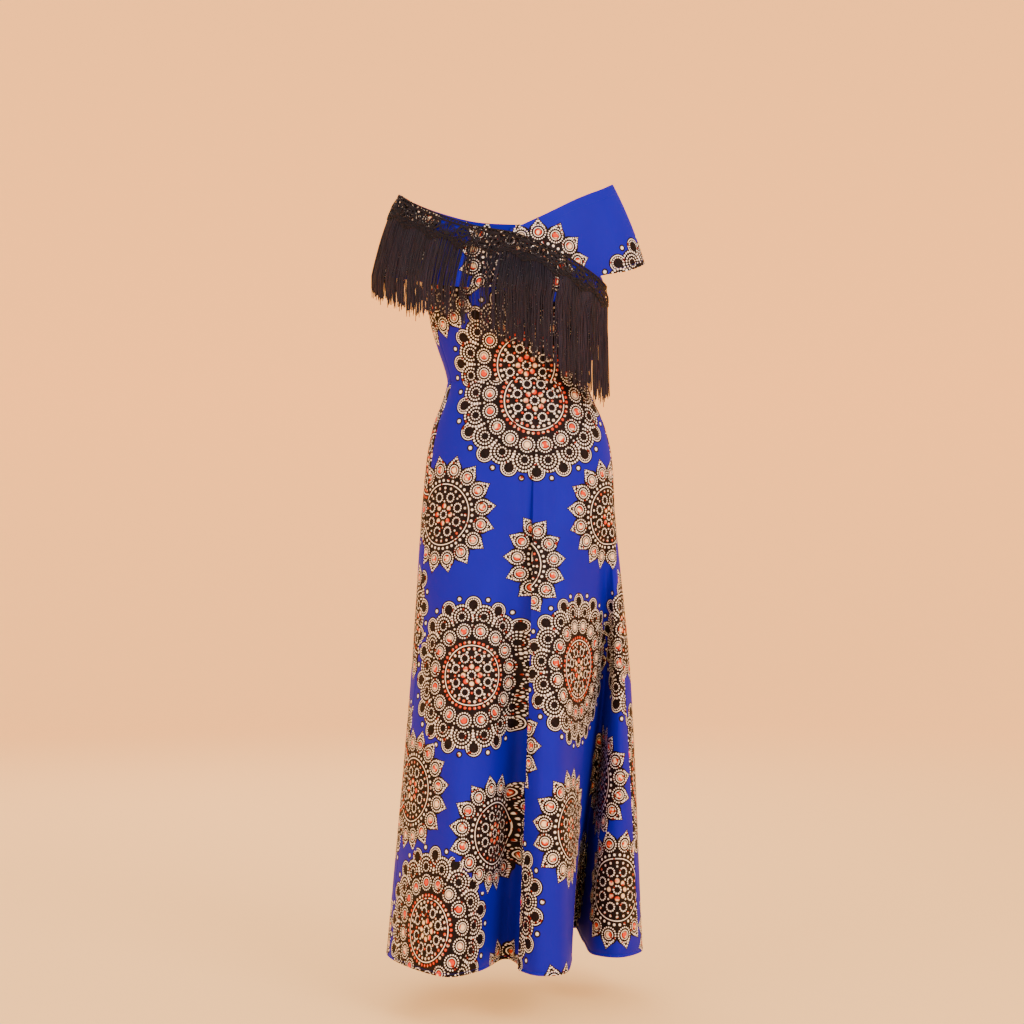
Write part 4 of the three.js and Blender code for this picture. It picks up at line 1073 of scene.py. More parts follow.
def rosette_group(rosette):
    """Paints one rosette over a cloth colour, from the tables."""
    tree, enter, leave = new_tree(
        "print_rosette_" + rosette,
        "ShaderNodeTree",
        {"Place": ("Vector", None), "Cloth": ("Color", None), "Seed": ("Float", 0.0)},
        {"Colour": "Color"},
    )
    about = {}
    for row in (row for row in PLACES if row["rosette"] == rosette):
        if row["about"] == "middle":
            about["middle"] = {"Local": enter["Place"]}
            continue
        folding = {"Place": enter["Place"], "Count": row["sectors"], "Turn": row["turn"], "Out": row["out"]}
        about[row["about"]] = add_node(tree, "ShaderNodeGroup", folding, node_tree=SECTOR).outputs
    inks = {}
    for row in (row for row in MARKS if row["rosette"] == rosette):
        drawn = {"Place": about[row["about"]]["Local"], "Radius": row["radius"], "Size": row["size"]}
        drawn |= {"Soft": GROUND_SOFT} if row["ink"] == "ground" else {}
        drawn |= {"Count": row["count"], "Turn": row["turn"]} if row["count"] else {}
        mask = add_node(tree, "ShaderNodeGroup", drawn, node_tree=DOTS if row["count"] else CIRCLE).outputs[0]
        if row["beyond"]:
            reach = {0: about[row["about"]]["Reach"], 1: row["beyond"]}
            past = add_node(tree, MATH, reach, operation="GREATER_THAN").outputs[0]
            mask = add_node(tree, MATH, {0: mask, 1: past}, operation="MULTIPLY").outputs[0]
        if row["ink"] in inks:
            mask = add_node(tree, MATH, {0: inks[row["ink"]], 1: mask}, operation="MAXIMUM").outputs[0]
        inks[row["ink"]] = mask
    if rosette == "small":
        whole = {"Place": enter["Place"], "Count": 16, "Turn": 0.5, "Out": 0.0}
        folded = add_node(tree, "ShaderNodeGroup", whole, node_tree=SECTOR).outputs["Local"]
        petal = add_node(tree, "ShaderNodeGroup", {"Place": folded}, node_tree=PETAL).outputs
        for ink, mask in (("ground", petal["Ground"]), ("light", petal["Dots"])):
            inks[ink] = add_node(tree, MATH, {0: inks[ink], 1: mask}, operation="MAXIMUM").outputs[0]
    # A fine cell pattern gives each dot a chance number, and a soft noise puts the cream glint in each gem.
    shifted = {0: enter["Place"], 1: enter["Seed"]}
    moved = add_node(tree, "ShaderNodeVectorMath", shifted, operation="ADD").outputs[0]
    cells = add_node(tree, "ShaderNodeTexVoronoi", {"Vector": moved, "Scale": 26.0}).outputs["Color"]
    chance = add_node(tree, "ShaderNodeSeparateColor", {0: cells}).outputs[0]
    cloud = add_node(tree, "ShaderNodeTexNoise", {"Vector": moved, "Scale": 15.0, "Detail": 0.0}).outputs[0]
    glint = add_node(tree, "ShaderNodeMapRange", {0: cloud, 1: 0.42, 2: 0.56}, clamp=True).outputs[0]
    colour = enter["Cloth"]
    for row in INKS:
        if row["ink"] not in inks:
            continue
        share = glint
        if row["some"] is not None:
            share = add_node(tree, MATH, {0: chance, 1: row["some"]}, operation="GREATER_THAN").outputs[0]
        pair = {0: share, 6: linear(row["first"]), 7: linear(row["second"])}
        tint = add_node(tree, "ShaderNodeMix", pair, data_type="RGBA").outputs[2]
        laid = {0: inks[row["ink"]], 6: colour, 7: tint}
        colour = add_node(tree, "ShaderNodeMix", laid, data_type="RGBA").outputs[2]
    tree.links.new(colour, leave["Colour"])
    return tree


ROSETTES = {rosette: rosette_group(rosette) for rosette in ROSETTE_RADIUS}
print("marks in the print:", {name: sum(row["rosette"] == name for row in MARKS) for name in ROSETTES})

# %% [markdown]
# ## Wax-print cotton
# The cloth is plain-woven cotton of about 135 g a square metre, printed on both faces and lightly
# calendered, so it has a deep, even colour, a soft sheen on the folds and no gloss. Its thread is a
# quarter of a millimetre, too fine to show, so the weave's bump is drawn about six times coarser.
# The weave and a faint unevenness of the dye run on the flat pattern, and the rosettes on their own map.

# %% The cloth's finish
CLOTH_BLUE = "#1400C4"
CLOTH_BLUE_DEEP = "#1000A8"
THREAD_DRAWN_MM = 1.6


def wax_print(name, rosette=None):
    """Printed cotton, plain or with one rosette on the map "print"."""
    material, tree, shader = new_finish(name)
    flat = add_node(tree, "ShaderNodeUVMap", uv_map="flat").outputs[0]
    dye = add_node(tree, "ShaderNodeTexNoise", {"Vector": flat, "Scale": 9.0, "Detail": 3.0}).outputs[0]
    blues = {0: dye, 6: linear(CLOTH_BLUE_DEEP), 7: linear(CLOTH_BLUE)}
    colour = add_node(tree, "ShaderNodeMix", blues, data_type="RGBA").outputs[2]
    if rosette:
        place = add_node(tree, "ShaderNodeUVMap", uv_map="print").outputs[0]
        seed = add_node(tree, "ShaderNodeAttribute", attribute_name="rosette").outputs["Fac"]
        drawn = {"Place": place, "Cloth": colour, "Seed": seed}
        colour = add_node(tree, "ShaderNodeGroup", drawn, node_tree=ROSETTES[rosette]).outputs["Colour"]
    tree.links.new(colour, shader.inputs["Base Color"])
    rings = 2 * math.pi / THREAD_DRAWN_MM / MM / 20  # a wave texture has 20 radians to a unit
    height = None
    for direction in ("X", "Y"):
        bands = {"Vector": flat, "Scale": rings, "Distortion": 0.6}
        wave = add_node(tree, "ShaderNodeTexWave", bands, bands_direction=direction).outputs["Fac"]
        pair = {0: wave, 1: height if height else 0.0}
        height = add_node(tree, MATH, pair, operation="MAXIMUM").outputs[0]
    bump = add_node(tree, "ShaderNodeBump", {"Height": height, "Strength": 0.10, "Distance": 0.0004})
    tree.links.new(bump.outputs[0], shader.inputs["Normal"])
    rough = add_node(tree, "ShaderNodeMapRange", {0: dye, 3: 0.60, 4: 0.72}).outputs[0]
    tree.links.new(rough, shader.inputs["Roughness"])
    shader.inputs["Specular IOR Level"].default_value = 0.15
    return material


COTTON = [wax_print("wax_print_cotton"), *(wax_print("wax_print_" + name, name) for name in ROSETTES)]
print("cotton finishes:", [material.name for material in COTTON])

# %% [markdown]
# ## Where the rosettes lie
# The cutter lays the panels on the cloth with rosettes in a half drop: large and small in turn down each
# column, and each column shifted from the next. This table gives their centres on the flat panels, in
# millimetres from the middle of the top edge. The flat turns a little from place to place, so each
# rosette is turned back until it stands upright on the worn dress, or half a petal from upright. The
# skirt's front has a tuck that takes in some cloth, so the print jumps there, and its two sides have
# rows of their own.

# %% Rosette places
PRINT = rows(
    ("panel", "side", "rosette", "u", "v", "turn"),
    [
        ("bodice_front", "whole", "large", 3, -194, 0),
        ("bodice_front", "whole", "small", -184, -49, 0),
        ("skirt_front", "left", "large", -23, -37, 0),
        ("skirt_front", "left", "small", -207, -220, 0),
        ("skirt_front", "left", "small", 7, -331, 0),
        ("skirt_front", "left", "large", -193, -518, 0),
        ("skirt_front", "left", "small", -386, -666, 0),
        ("skirt_front", "left", "small", -207, -804, 0),
        ("skirt_front", "left", "large", -405, -910, 0),
        ("skirt_front", "left", "small", -220, -1105, 0),
        ("skirt_front", "left", "large", -405, -330, 0),
        ("skirt_front", "right", "large", -23, -37, 0),
        ("skirt_front", "right", "small", 136, -233, 0),
        ("skirt_front", "right", "small", -80, -333, 0),
        ("skirt_front", "right", "large", 74, -532, 0),
        ("skirt_front", "right", "small", -141, -665, 0),
        ("skirt_front", "right", "small", 46, -814, 0),
        ("skirt_front", "right", "large", -177, -940, 0),
        ("skirt_front", "right", "small", 0, -1143, 0),
        ("skirt_front", "right", "small", 341, -702, 0),
        ("skirt_front", "right", "small", 519, -797, 0),
        ("skirt_front", "right", "large", 322, -420, 0),
        ("skirt_front", "right", "large", 262, -985, 0),
        ("shoulder_band_right", "whole", "small", 160, -25, 0),
        ("shoulder_band_right", "whole", "small", -90, -45, 0),
        ("shoulder_band_right", "whole", "small", 372, -110, 0),
        ("shoulder_band_right", "whole", "small", -330, -60, 0),
        ("shoulder_band_left", "whole", "small", -216, -98, 0.5),
        ("shoulder_band_left", "whole", "large", 12, -240, 0),
        ("shoulder_band_left", "whole", "small", 206, -52, 0),
        ("bodice_back_left", "whole", "small", -28, -60, 0),
        ("bodice_back_left", "whole", "large", 118, -196, 0),
        ("bodice_back_right", "whole", "large", -80, -196, 0),
        ("bodice_back_right", "whole", "small", 74, -52, 0),
        ("skirt_back_left", "whole", "small", -165, -410, 0),
        ("skirt_back_left", "whole", "large", -160, -690, 0),
        ("skirt_back_left", "whole", "small", -165, -975, 0),
        ("skirt_back_left", "whole", "large", -118, -128, 0),
        ("skirt_back_left", "whole", "small", 42, -262, 0),
        ("skirt_back_left", "whole", "large", 52, -540, 0),
        ("skirt_back_left", "whole", "small", 40, -822, 0),
        ("skirt_back_right", "whole", "small", 186, -400, 0),
        ("skirt_back_right", "whole", "large", 196, -682, 0),
        ("skirt_back_right", "whole", "small", 186, -962, 0),
        ("skirt_back_right", "whole", "large", 128, -128, 0),
        ("skirt_back_right", "whole", "small", -30, -270, 0),
        ("skirt_back_right", "whole", "large", -28, -548, 0),
        ("skirt_back_right", "whole", "small", -34, -830, 0),
        ("skirt_back_right", "whole", "large", -40, -1110, 0),
    ],
)
ROSETTE_REACH = 1.12  # faces this far from a centre, in radii, still belong to its rosette
NO_ROSETTE = 9.0  # a place in the print's map far outside any rosette
SEED_STEP = 3.1  # between two rosettes, so that their chance numbers differ


def upright(flat, outer, middle):
    """A unit complex number that turns the flat at a place until it hangs there as when worn."""
    i, j = np.unravel_index(np.argmin(np.linalg.norm(flat / MM - middle, axis=-1)), flat.shape[:2])
    i, j = np.clip(i, 1, flat.shape[0] - 2), np.clip(j, 1, flat.shape[1] - 2)
    ways = [outer[i + 1, j] - outer[i - 1, j], outer[i, j + 1] - outer[i, j - 1]]
    flat_ways = [flat[i + 1, j] - flat[i - 1, j], flat[i, j + 1] - flat[i, j - 1]]
    shares = np.linalg.lstsq(np.array(ways).T, np.array([0, 0, -1.0]), rcond=None)[0]
    down = complex(*(shares @ np.array(flat_ways)))
    return -1j / (down / abs(down))


def lay_print(name, piece, flat, column_side):
    """Gives each face the rosette it lies nearest: its finish, its seed and its place on the map "print"."""
    corners = np.stack([flat[:-1, :-1], flat[1:, :-1], flat[1:, 1:], flat[:-1, 1:]], 2) / MM
    centres = corners.mean(2)
    nearest = np.full(centres.shape[:2], ROSETTE_REACH)
    chosen = np.zeros(centres.shape[:2], int)
    seed = np.zeros(centres.shape[:2])
    print_place = np.full(corners.shape, NO_ROSETTE)
    for number, row in enumerate(row for row in PRINT if row["panel"] == name):
        radius = ROSETTE_RADIUS[row["rosette"]]
        middle = np.array([row["u"], row["v"]], float)
        away = np.linalg.norm(centres - middle, axis=-1) / radius
        takes = (away < nearest) & (column_side[:, :-1] == row["side"])
        nearest[takes] = away[takes]
        chosen[takes] = 1 + list(ROSETTES).index(row["rosette"])
        seed[takes] = SEED_STEP * (number + 1)
        turn = upright(flat, outers[name], middle) * np.exp(1j * math.pi / 8 * row["turn"])
        turned = ((corners[takes] - middle) @ np.array([1, 1j])) / radius * turn
        print_place[takes] = np.stack([turned.real, turned.imag], -1)
    layer = piece.data.uv_layers.new(name="print")
    layer.uv.foreach_set("vector", print_place.ravel())
    piece.data.attributes.new("rosette", "FLOAT", "FACE").data.foreach_set("value", seed.ravel())
    for material in COTTON:
        piece.data.materials.append(material)
    piece.data.polygons.foreach_set("material_index", chosen.ravel())
    return int((chosen > 0).sum())


# %% Print and walls
for name, panel in panels.items():
    columns = outers[name].shape[1]
    side = np.full((1, columns), "whole", dtype="<U5")
    if name == "skirt_front":
        side[:] = np.where(np.arange(columns) < tuck_column, "left", "right")
    printed = lay_print(name, panel, flats[name], side)
    print(name, "has", printed, "faces with a rosette")
    give_wall(panel)
    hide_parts(name)
    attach(panel, "dress")

# %% [markdown]
# ## The lace trim
# Guipure lace is embroidered on a ground that is washed away, so only thread is left: thick cords, in
# rings and fans, joined where they touch. One repeat is drawn here as lines on the flat, in millimetres
# along the edge and down from it. Every repeat is laid on the band, and one Geometry Nodes tree turns
# all the lines to cords. A see-through texture would be lighter, but it has no thickness, and this lace
# stands off the cloth.

# %% Laying the lace on the band
TRIM_START = 9
LACE_REPEAT = 50
LAYER_GAP = 1.3
LACE_THICKNESS = 1
LACE_RISE = 3.2
FLOWER = (25, 18.2)  # the middle of the round flower, along and down
FAN_DOWN = 31  # how far down a fan's foot lies
RIGHT_LENGTH = float(lengths_along(right_points[:1], 1)[0, -1])
REPEATS = int((RIGHT_LENGTH - TRIM_START) // LACE_REPEAT)
STRETCH = (RIGHT_LENGTH - TRIM_START) / REPEATS / LACE_REPEAT


def lace_lift(d):
    """The lace lies further off the cloth where the fringe hangs from under it."""
    return LAYER_GAP + LACE_THICKNESS / 2 + LACE_RISE * rising(d, 6, 24)


def ring(along, down, half_along, half_down, count=18, start=0, sweep=360):
    """Points round an oval, or round a part of it."""
    angle = np.radians(start + np.linspace(0, sweep, count + 1))
    return np.stack([along + half_along * np.cos(angle), down - half_down * np.sin(angle)], -1)


def line(*points):
    return np.array(points, float)


def lace_repeat():
    """One repeat of the lace, as (points, thickness) pairs: its edge, a round flower, a fan and scallops."""
    drawn = []
    for k in range(8):
        drawn.append((ring((k + 0.5) * LACE_REPEAT / 8, 4.3, 2.55, 2.5, 10), 1.15))
    for down, thick in ((1.2, 1.5), (7.4, 1.5), (8.9, 1.1)):
        drawn.append((line((0, down), (12.5, down), (25, down), (37.5, down), (50, down)), thick))
    # The round flower in the middle of the repeat, with four open places.
    for radius, thick in ((2.0, 1.5), (8.6, 1.5), (10.2, 1.3)):
        drawn.append((ring(*FLOWER, radius, radius, 26), thick))
    for turn in (0, 90, 180, 270):
        reach = ring(*FLOWER, 5.2, 5.2, 1, turn + 45, 0)[0]
        drawn.append((ring(reach[0], reach[1], 2.7, 2.7, 10), 1.2))
        drawn.append((line(FLOWER, ring(*FLOWER, 8.6, 8.6, 1, turn, 0)[0]), 1.3))
    # The fan between two flowers, whose ribs spread from its foot.
    for side in (-1, 1):
        foot = 0 if side > 0 else LACE_REPEAT
        for turn, reach in ((88, 19), (70, 18.6), (52, 17.6), (34, 15.6), (16, 12.6)):
            way = turn if side > 0 else 180 - turn
            tip = ring(foot, FAN_DOWN, reach, reach, 1, way, 0)[0]
            bow = ring(foot, FAN_DOWN, reach * 0.55, reach * 0.5, 1, way, 0)[0]
            drawn.append((line((foot, FAN_DOWN), bow, tip), 1.4))
            drawn.append((ring(tip[0], tip[1], 2.0, 2.0, 9), 1.2))
    drawn.append((ring(0, FAN_DOWN, 9.5, 8.8, 10, 0, 90), 1.1))
    drawn.append((ring(LACE_REPEAT, FAN_DOWN, 9.5, 8.8, 10, 90, 90), 1.1))
    # Oval openings under the flower, and the cord that the pendants hang from.
    for along in (20.2, 29.8):
        drawn.append((ring(along, 32, 4.2, 3.2, 14), 1.3))
    drawn.append((line((0, 33.5), (8, 33.2), (15.5, 32.6)), 1.4))
    drawn.append((line((34.5, 32.6), (42, 33.2), (50, 33.5)), 1.4))
    # Scallops: three on the pendant, and a small one beside it.
    scallops = ((25, 43.6, 4.6), (17.2, 39.6, 4.3), (32.8, 39.6, 4.3), (9.4, 36.6, 3.6), (40.6, 36.6, 3.6))
    for along, down, size in scallops:
        drawn.append((ring(along, down, size, size * 0.95, 14), 1.5))
        drawn.append((ring(along, down, size * 0.5, size * 0.5, 9), 1.3))
    for along in (1.6, LACE_REPEAT - 1.6):
        drawn.append((ring(along, 35.8, 3.2, 2.6, 10), 1.3))
    return drawn


def lace_lines():
    """All the lace's cords on the band: points in millimetres, edges between them, and a radius for each."""
    points, edges, radii = [], [], []
    for r in range(REPEATS):
        for drawn, thick in lace_repeat():
            along = TRIM_START + (r * LACE_REPEAT + drawn[:, 0]) * STRETCH
            on, _ = place(right_points, np.clip(along, 0, RIGHT_LENGTH), drawn[:, 1], lace_lift(drawn[:, 1]))
            first = len(points)
            points.extend(on)
            edges.extend((first + k, first + k + 1) for k in range(len(on) - 1))
            radii.extend([thick / 2] * len(on))
    return np.array(points), edges, np.array(radii)


# %% [markdown]
# ## A tree that makes cords
# A loose mesh of edges holds the lines. The tree joins them to curves, gives each point the radius
# from an attribute, and sweeps a small ring along it. A second attribute, the tone, goes with it, so that
# the finish can make one cord a little lighter than the next. The tree ends in a plain mesh. A curve
# object with a round bevel could sweep the lines too, but it wouldn't carry the tone.

# %% The cord tree
def end_tree(tree, leave, geometry, material):
    """Ends a tree as a plain mesh with its material."""
    solid = add_node(tree, "GeometryNodeRealizeInstances", {0: geometry})
    painted = add_node(tree, "GeometryNodeSetMaterial", {"Geometry": solid.outputs[0], "Material": material})
    tree.links.new(painted.outputs[0], leave[0])


def cord_tree():
    """Lines to cords: the sides of a cord's section are an input, and its radius is the attribute "cord"."""
    tree, enter, leave = new_tree(
        "cords",
        "GeometryNodeTree",
        {"Lines": ("Geometry", None), "Sides": ("Int", 6), "Finish": ("Material", None)},
        {"Geometry": "Geometry"},
    )
    size = add_node(tree, "GeometryNodeInputNamedAttribute", {"Name": "cord"}, data_type="FLOAT")
    curve = add_node(tree, "GeometryNodeMeshToCurve", {0: enter["Lines"]})
    round_section = {"Resolution": enter["Sides"], "Radius": 1.0}
    section = add_node(tree, "GeometryNodeCurvePrimitiveCircle", round_section)
    sweep = {"Curve": curve.outputs[0], "Profile Curve": section.outputs[0], "Scale": size.outputs[0]}
    swept = add_node(tree, "GeometryNodeCurveToMesh", sweep | {"Fill Caps": True})
    soft = add_node(tree, "GeometryNodeSetShadeSmooth", {0: swept.outputs[0]})
    end_tree(tree, leave, soft.outputs[0], enter["Finish"])
    return tree


CORDS = cord_tree()


def run_tree(piece, tree, **inputs):
    """Runs a tree on a piece with its inputs set, and keeps the result as a plain mesh."""
    modifier = piece.modifiers.new(tree.name, "NODES")
    modifier.node_group = tree
    for item in tree.interface.items_tree:
        if item.in_out == "INPUT" and item.name in inputs:
            modifier[item.identifier] = inputs[item.name]
    keep_result(piece, modifier)
    return piece


def line_piece(name, points, edges, **attributes):
    """A loose mesh of lines in millimetres, with a number for each point under each attribute's name."""
    mesh = bpy.data.meshes.new(name)
    mesh.from_pydata((np.asarray(points) * MM).tolist(), edges, [])
    for label, values in attributes.items():
        mesh.attributes.new(label, "FLOAT", "POINT").data.foreach_set("value", np.asarray(values, float))
    piece = bpy.data.objects.new(name, mesh)
    scene.collection.objects.link(piece)
    return piece


def cords_from(name, points, edges, radii, tones, finish, sides=6):
    """A piece of cords from lines in millimetres."""
    piece = line_piece(name, points, edges, cord=np.asarray(radii, float) * MM, tone=tones)
    return run_tree(piece, CORDS, Sides=sides, Finish=finish)


# %% [markdown]
# ## Thread and cord finishes
# Lace thread is mercerised cotton and fringe cord is a knitted chain of viscose. Both are near black with
# a violet tinge, and the viscose has a soft lustre. Their twist is about a millimetre long, too fine to
# show, so it is drawn two to three times coarser, as a slanted wave on Object coordinates. The wave
# makes the ridges in the bump, and it also paints the ridges' crests lighter: a painted highlight.

# %% Finishes for thread
def twisted(name, dark, light, roughness, lustre, twist_mm, slant):
    """Twisted thread: two shades that a cord's own tone mixes, with slanted ridges whose crests get a painted
    highlight.
    """
    material, tree, shader = new_finish(name)
    place = add_node(tree, "ShaderNodeTexCoord").outputs["Object"]
    slanted = {"Vector": place, "Rotation": (slant, slant, 0.0)}
    turned = add_node(tree, "ShaderNodeMapping", slanted).outputs[0]
    scale = math.pi / 10 / (twist_mm * MM)
    ridges = {"Vector": turned, "Scale": scale, "Distortion": 0.8}
    wave = add_node(tree, "ShaderNodeTexWave", ridges, bands_direction="Z").outputs["Fac"]
    tone = add_node(tree, "ShaderNodeAttribute", attribute_name="tone").outputs["Fac"]
    # The wave's crests lighten the colour: a painted highlight on the twist's ridges, on top of their bump.
    painted_crest_light = add_node(tree, MATH, {0: wave, 1: 0.35, 2: 0.0}, operation="MULTIPLY_ADD").outputs[0]
    share = add_node(tree, MATH, {0: tone, 1: 0.75, 2: painted_crest_light}, operation="MULTIPLY_ADD").outputs[0]
    shades = {0: share, 6: linear(dark), 7: linear(light)}
    colour = add_node(tree, "ShaderNodeMix", shades, data_type="RGBA", clamp_factor=True).outputs[2]
    tree.links.new(colour, shader.inputs["Base Color"])
    bump = add_node(tree, "ShaderNodeBump", {"Height": wave, "Strength": 0.35, "Distance": 0.0003})
    tree.links.new(bump.outputs[0], shader.inputs["Normal"])
    shader.inputs["Roughness"].default_value = roughness
    shader.inputs["Specular IOR Level"].default_value = 0.3
    shader.inputs["Sheen Weight"].default_value = lustre
    shader.inputs["Sheen Roughness"].default_value = 0.45
    shader.inputs["Sheen Tint"].default_value = linear("#8A7CA8")
    return material


LACE_THREAD = twisted("guipure_lace_thread", "#030206", "#151222", 0.62, 0.03, 2.4, 0.7)
FRINGE_CORD = twisted("viscose_fringe_cord", "#030208", "#1E1A34", 0.5, 0.05, 3.0, 0.5)
BLUE_THREAD = twisted("polyester_sewing_thread", "#0009A0", "#1A2EE0", 0.5, 0.05, 1.4, 0.6)

# %% The lace
LACE_FULLNESS = 1.3  # lace threads look this much thicker than their core, with their loose fibres

lace_points, lace_edges, lace_radii = lace_lines()
lace_tones = np.random.default_rng(SEED).random(len(lace_points))
lace = cords_from("lace_cords", lace_points, lace_edges, lace_radii * LACE_FULLNESS, lace_tones, LACE_THREAD)
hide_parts("lace_trim")
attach(lace, "dress")
print("lace:", REPEATS, "repeats,", len(lace.data.polygons), "faces")

# %% [markdown]
# ## The fringe
# The fringe is rows of fine cords on a narrow tape, sewn under the lace. Each cord lies on the band as
# far as the band's lower edge and then hangs straight down. Cords cling together in locks that close
# towards their tips, a few stray, and their ends are uneven. Between the two main masses few cords are
# left. A random generator with a fixed seed draws the small differences. Hair curves could make a fringe
# too, but the cord tree gives plain meshes, and each cord stays clear of the band and the figure.

# %% Fringe strands
FRINGE = rows(
    ("along", "length"),
    [
        (0, 134),
        (240, 140),
        (320, 150),
        (385, 134),
        (462, 150),
        (540, 158),
        (610, 178),
        (660, 172),
        (706, 160),
    ],
)
THIN_PLACES = rows(
    ("start", "end", "kept"),
    [(372, 416, 0.62), (416, 474, 0.24), (566, 576, 0.30)],
)
STRAND_LAYERS = 3
STRAND_PITCH = 1.25
STRAND_RADIUS = 0.62
LOCK_WIDTHS = (6, 19)
LOCKS = 120  # more than the trim has room for
LOCK_CLOSES = 0.42  # how far a lock's cords have come together at their tips
ROOT_DOWN = 30
STRAY_SHARE = 0.04
RIPPLE = 11  # a strand's slight waves, in millimetres to a radian
SPLAY = 12  # how far the last strands spread at their tips
SPLAY_FROM, SPLAY_TO = 655, 706
HANG_CLEARANCE = 5.6  # from the figure to the first layer
LAYER_STEP = 1.1


def fringe_lines(layer, draws):
    """One layer's strands, as points, edges, radii and tones."""
    points, edges, radii, tones = [], [], [], []
    widths = np.linalg.norm(np.diff(right_points, axis=0), axis=-1).sum(0)
    reach = lengths_along(right_points[:1], 1)[0]
    lock_ends = np.cumsum(draws.uniform(*LOCK_WIDTHS, LOCKS)) - LOCK_WIDTHS[1]
    lock_leans = draws.normal(0, 2.4, LOCKS)
    lock_lengths = 1 + draws.normal(0, 0.035, LOCKS)
    lock_tones = draws.random(LOCKS)
    for s in np.arange(TRIM_START + layer * STRAND_PITCH / STRAND_LAYERS, RIGHT_LENGTH - 1, STRAND_PITCH):
        kept = min([row["kept"] for row in THIN_PLACES if row["start"] < s < row["end"]], default=1.0)
        chance, stray, bend = draws.random(), draws.random() < STRAY_SHARE, draws.normal(0, 1)
        s = s + draws.normal(0, 0.35)
        if chance > kept:
            continue
        lock = int(np.searchsorted(lock_ends, s))
        middle = (lock_ends[lock - 1] + lock_ends[lock]) / 2
        lean = lock_leans[lock] + bend * (4.5 if stray else 0.9)
        length = float(read(FRINGE, s, "length", "along")) * lock_lengths[lock] * (1 + draws.normal(0, 0.03))
        length *= 1.06 if stray else 1.0
        width = float(np.interp(s, reach, widths))
        down = np.append(np.arange(ROOT_DOWN, width - 6, 12.0), width + 1)
        gone = (down - ROOT_DOWN) / length
        shift = ((middle - s) * LOCK_CLOSES + lean) * gone + 0.5 * np.sin(down / RIPPLE + s * 1.7)
        lift = 1.5 + 1.0 * layer + draws.random() * 0.5
        on, normal = place(right_points, np.clip(s + shift, 0, RIGHT_LENGTH), down, lift)
        out = normal[0] * np.array([1, 1, 0])
        out /= np.linalg.norm(out)
        stands = on @ out
        on = on + out * (np.maximum.accumulate(stands) - stands)[:, None]
        used = float(np.linalg.norm(np.diff(on, axis=0), axis=-1).sum())
        hang = max(length - used, 6)
        fall = np.linspace(0, hang, max(int(hang / 16), 2) + 1)[1:]
        side = np.array([-out[1], out[0], 0])
        closing = (middle - s) * LOCK_CLOSES + lean
        splay = SPLAY * rising(s, SPLAY_FROM, SPLAY_TO)
        waves = np.sin((fall + width) / RIPPLE + s) - math.sin(width / RIPPLE + s)
        sway = (closing + splay) * fall / length + 0.6 * waves
        hung = on[-1] - np.array([0, 0, 1]) * fall[:, None] + side * sway[:, None]
        strand = np.concatenate([on, clear_of_figure(hung, HANG_CLEARANCE + LAYER_STEP * layer)])
        first = len(points)
        points.extend(strand)
        edges.extend((first + k, first + k + 1) for k in range(len(strand) - 1))
        radii.extend([STRAND_RADIUS] * len(strand))
        tones.extend([0.55 * lock_tones[lock] + 0.45 * chance / kept] * len(strand))
    return np.array(points), edges, np.array(radii), np.array(tones)


draws = np.random.default_rng(SEED)
for layer in range(STRAND_LAYERS):
    fringe = cords_from(f"fringe_cords_{layer + 1}", *fringe_lines(layer, draws), FRINGE_CORD, 4)
    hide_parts("fringe")
    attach(fringe, "dress")
    print("fringe layer", layer + 1, "has", len(fringe.data.polygons), "faces")

# %% [markdown]
# ## Stitches
# The hem and the bands' edges are turned up and topstitched with polyester thread. One tree lays a short
# capsule of thread at each step of a line and turns it along the line. Real stitches are 2.5 mm long and
# a quarter of a millimetre thick. They are drawn over twice as thick, or they would vanish in the picture.
# Bump in the cloth's finish could show them from afar, but these also stand out where the hem turns away.

# %% The stitch tree
def stitch_tree():
    """Lines to rows of stitches, with the pitch, length and thickness as inputs in metres."""
    sizes = {"Pitch": ("Float", 0.003), "Length": ("Float", 0.0022), "Thickness": ("Float", 0.0006)}
    tree, enter, leave = new_tree(
        "stitches",
        "GeometryNodeTree",
        {"Lines": ("Geometry", None)} | sizes | {"Finish": ("Material", None)},
        {"Geometry": "Geometry"},
    )
    curve = add_node(tree, "GeometryNodeMeshToCurve", {0: enter["Lines"]})
    spaced = {"Curve": curve.outputs[0], "Length": enter["Pitch"]}
    steps = add_node(tree, "GeometryNodeResampleCurve", spaced, mode="LENGTH")
    tangent = add_node(tree, "GeometryNodeInputTangent")
    turn = add_node(tree, "FunctionNodeAlignRotationToVector", {"Vector": tangent.outputs[0]}, axis="Z")
    capsule = add_node(tree, "GeometryNodeMeshUVSphere", {"Segments": 6, "Rings": 4, "Radius": 0.5})
    scale = {0: enter["Thickness"], 1: enter["Thickness"], 2: enter["Length"]}
    size = add_node(tree, "ShaderNodeCombineXYZ", scale)
    laid = add_node(
        tree,
        "GeometryNodeInstanceOnPoints",
        {
            "Points": steps.outputs[0],
            "Instance": capsule.outputs[0],
            "Rotation": turn.outputs[0],
            "Scale": size.outputs[0],
        },
    )
    soft = add_node(tree, "GeometryNodeSetShadeSmooth", {0: laid.outputs[0]})
    end_tree(tree, leave, soft.outputs[0], enter["Finish"])
    return tree


STITCHES = stitch_tree()
STITCH_LIFT = 0.1  # how far a stitch's middle lies above the cloth
HEM_ROW = -1 - HEM_LINES[::-1].index(HEM_FOLD)
STITCHED_ROWS = rows(
    ("panel", "row"),
    [
        ("skirt_front", HEM_ROW),
        ("skirt_back_left", HEM_ROW),
        ("skirt_back_right", HEM_ROW),
        ("shoulder_band_right", -2),
        ("shoulder_band_left", -2),
        ("shoulder_band_left", 2),
    ],
)


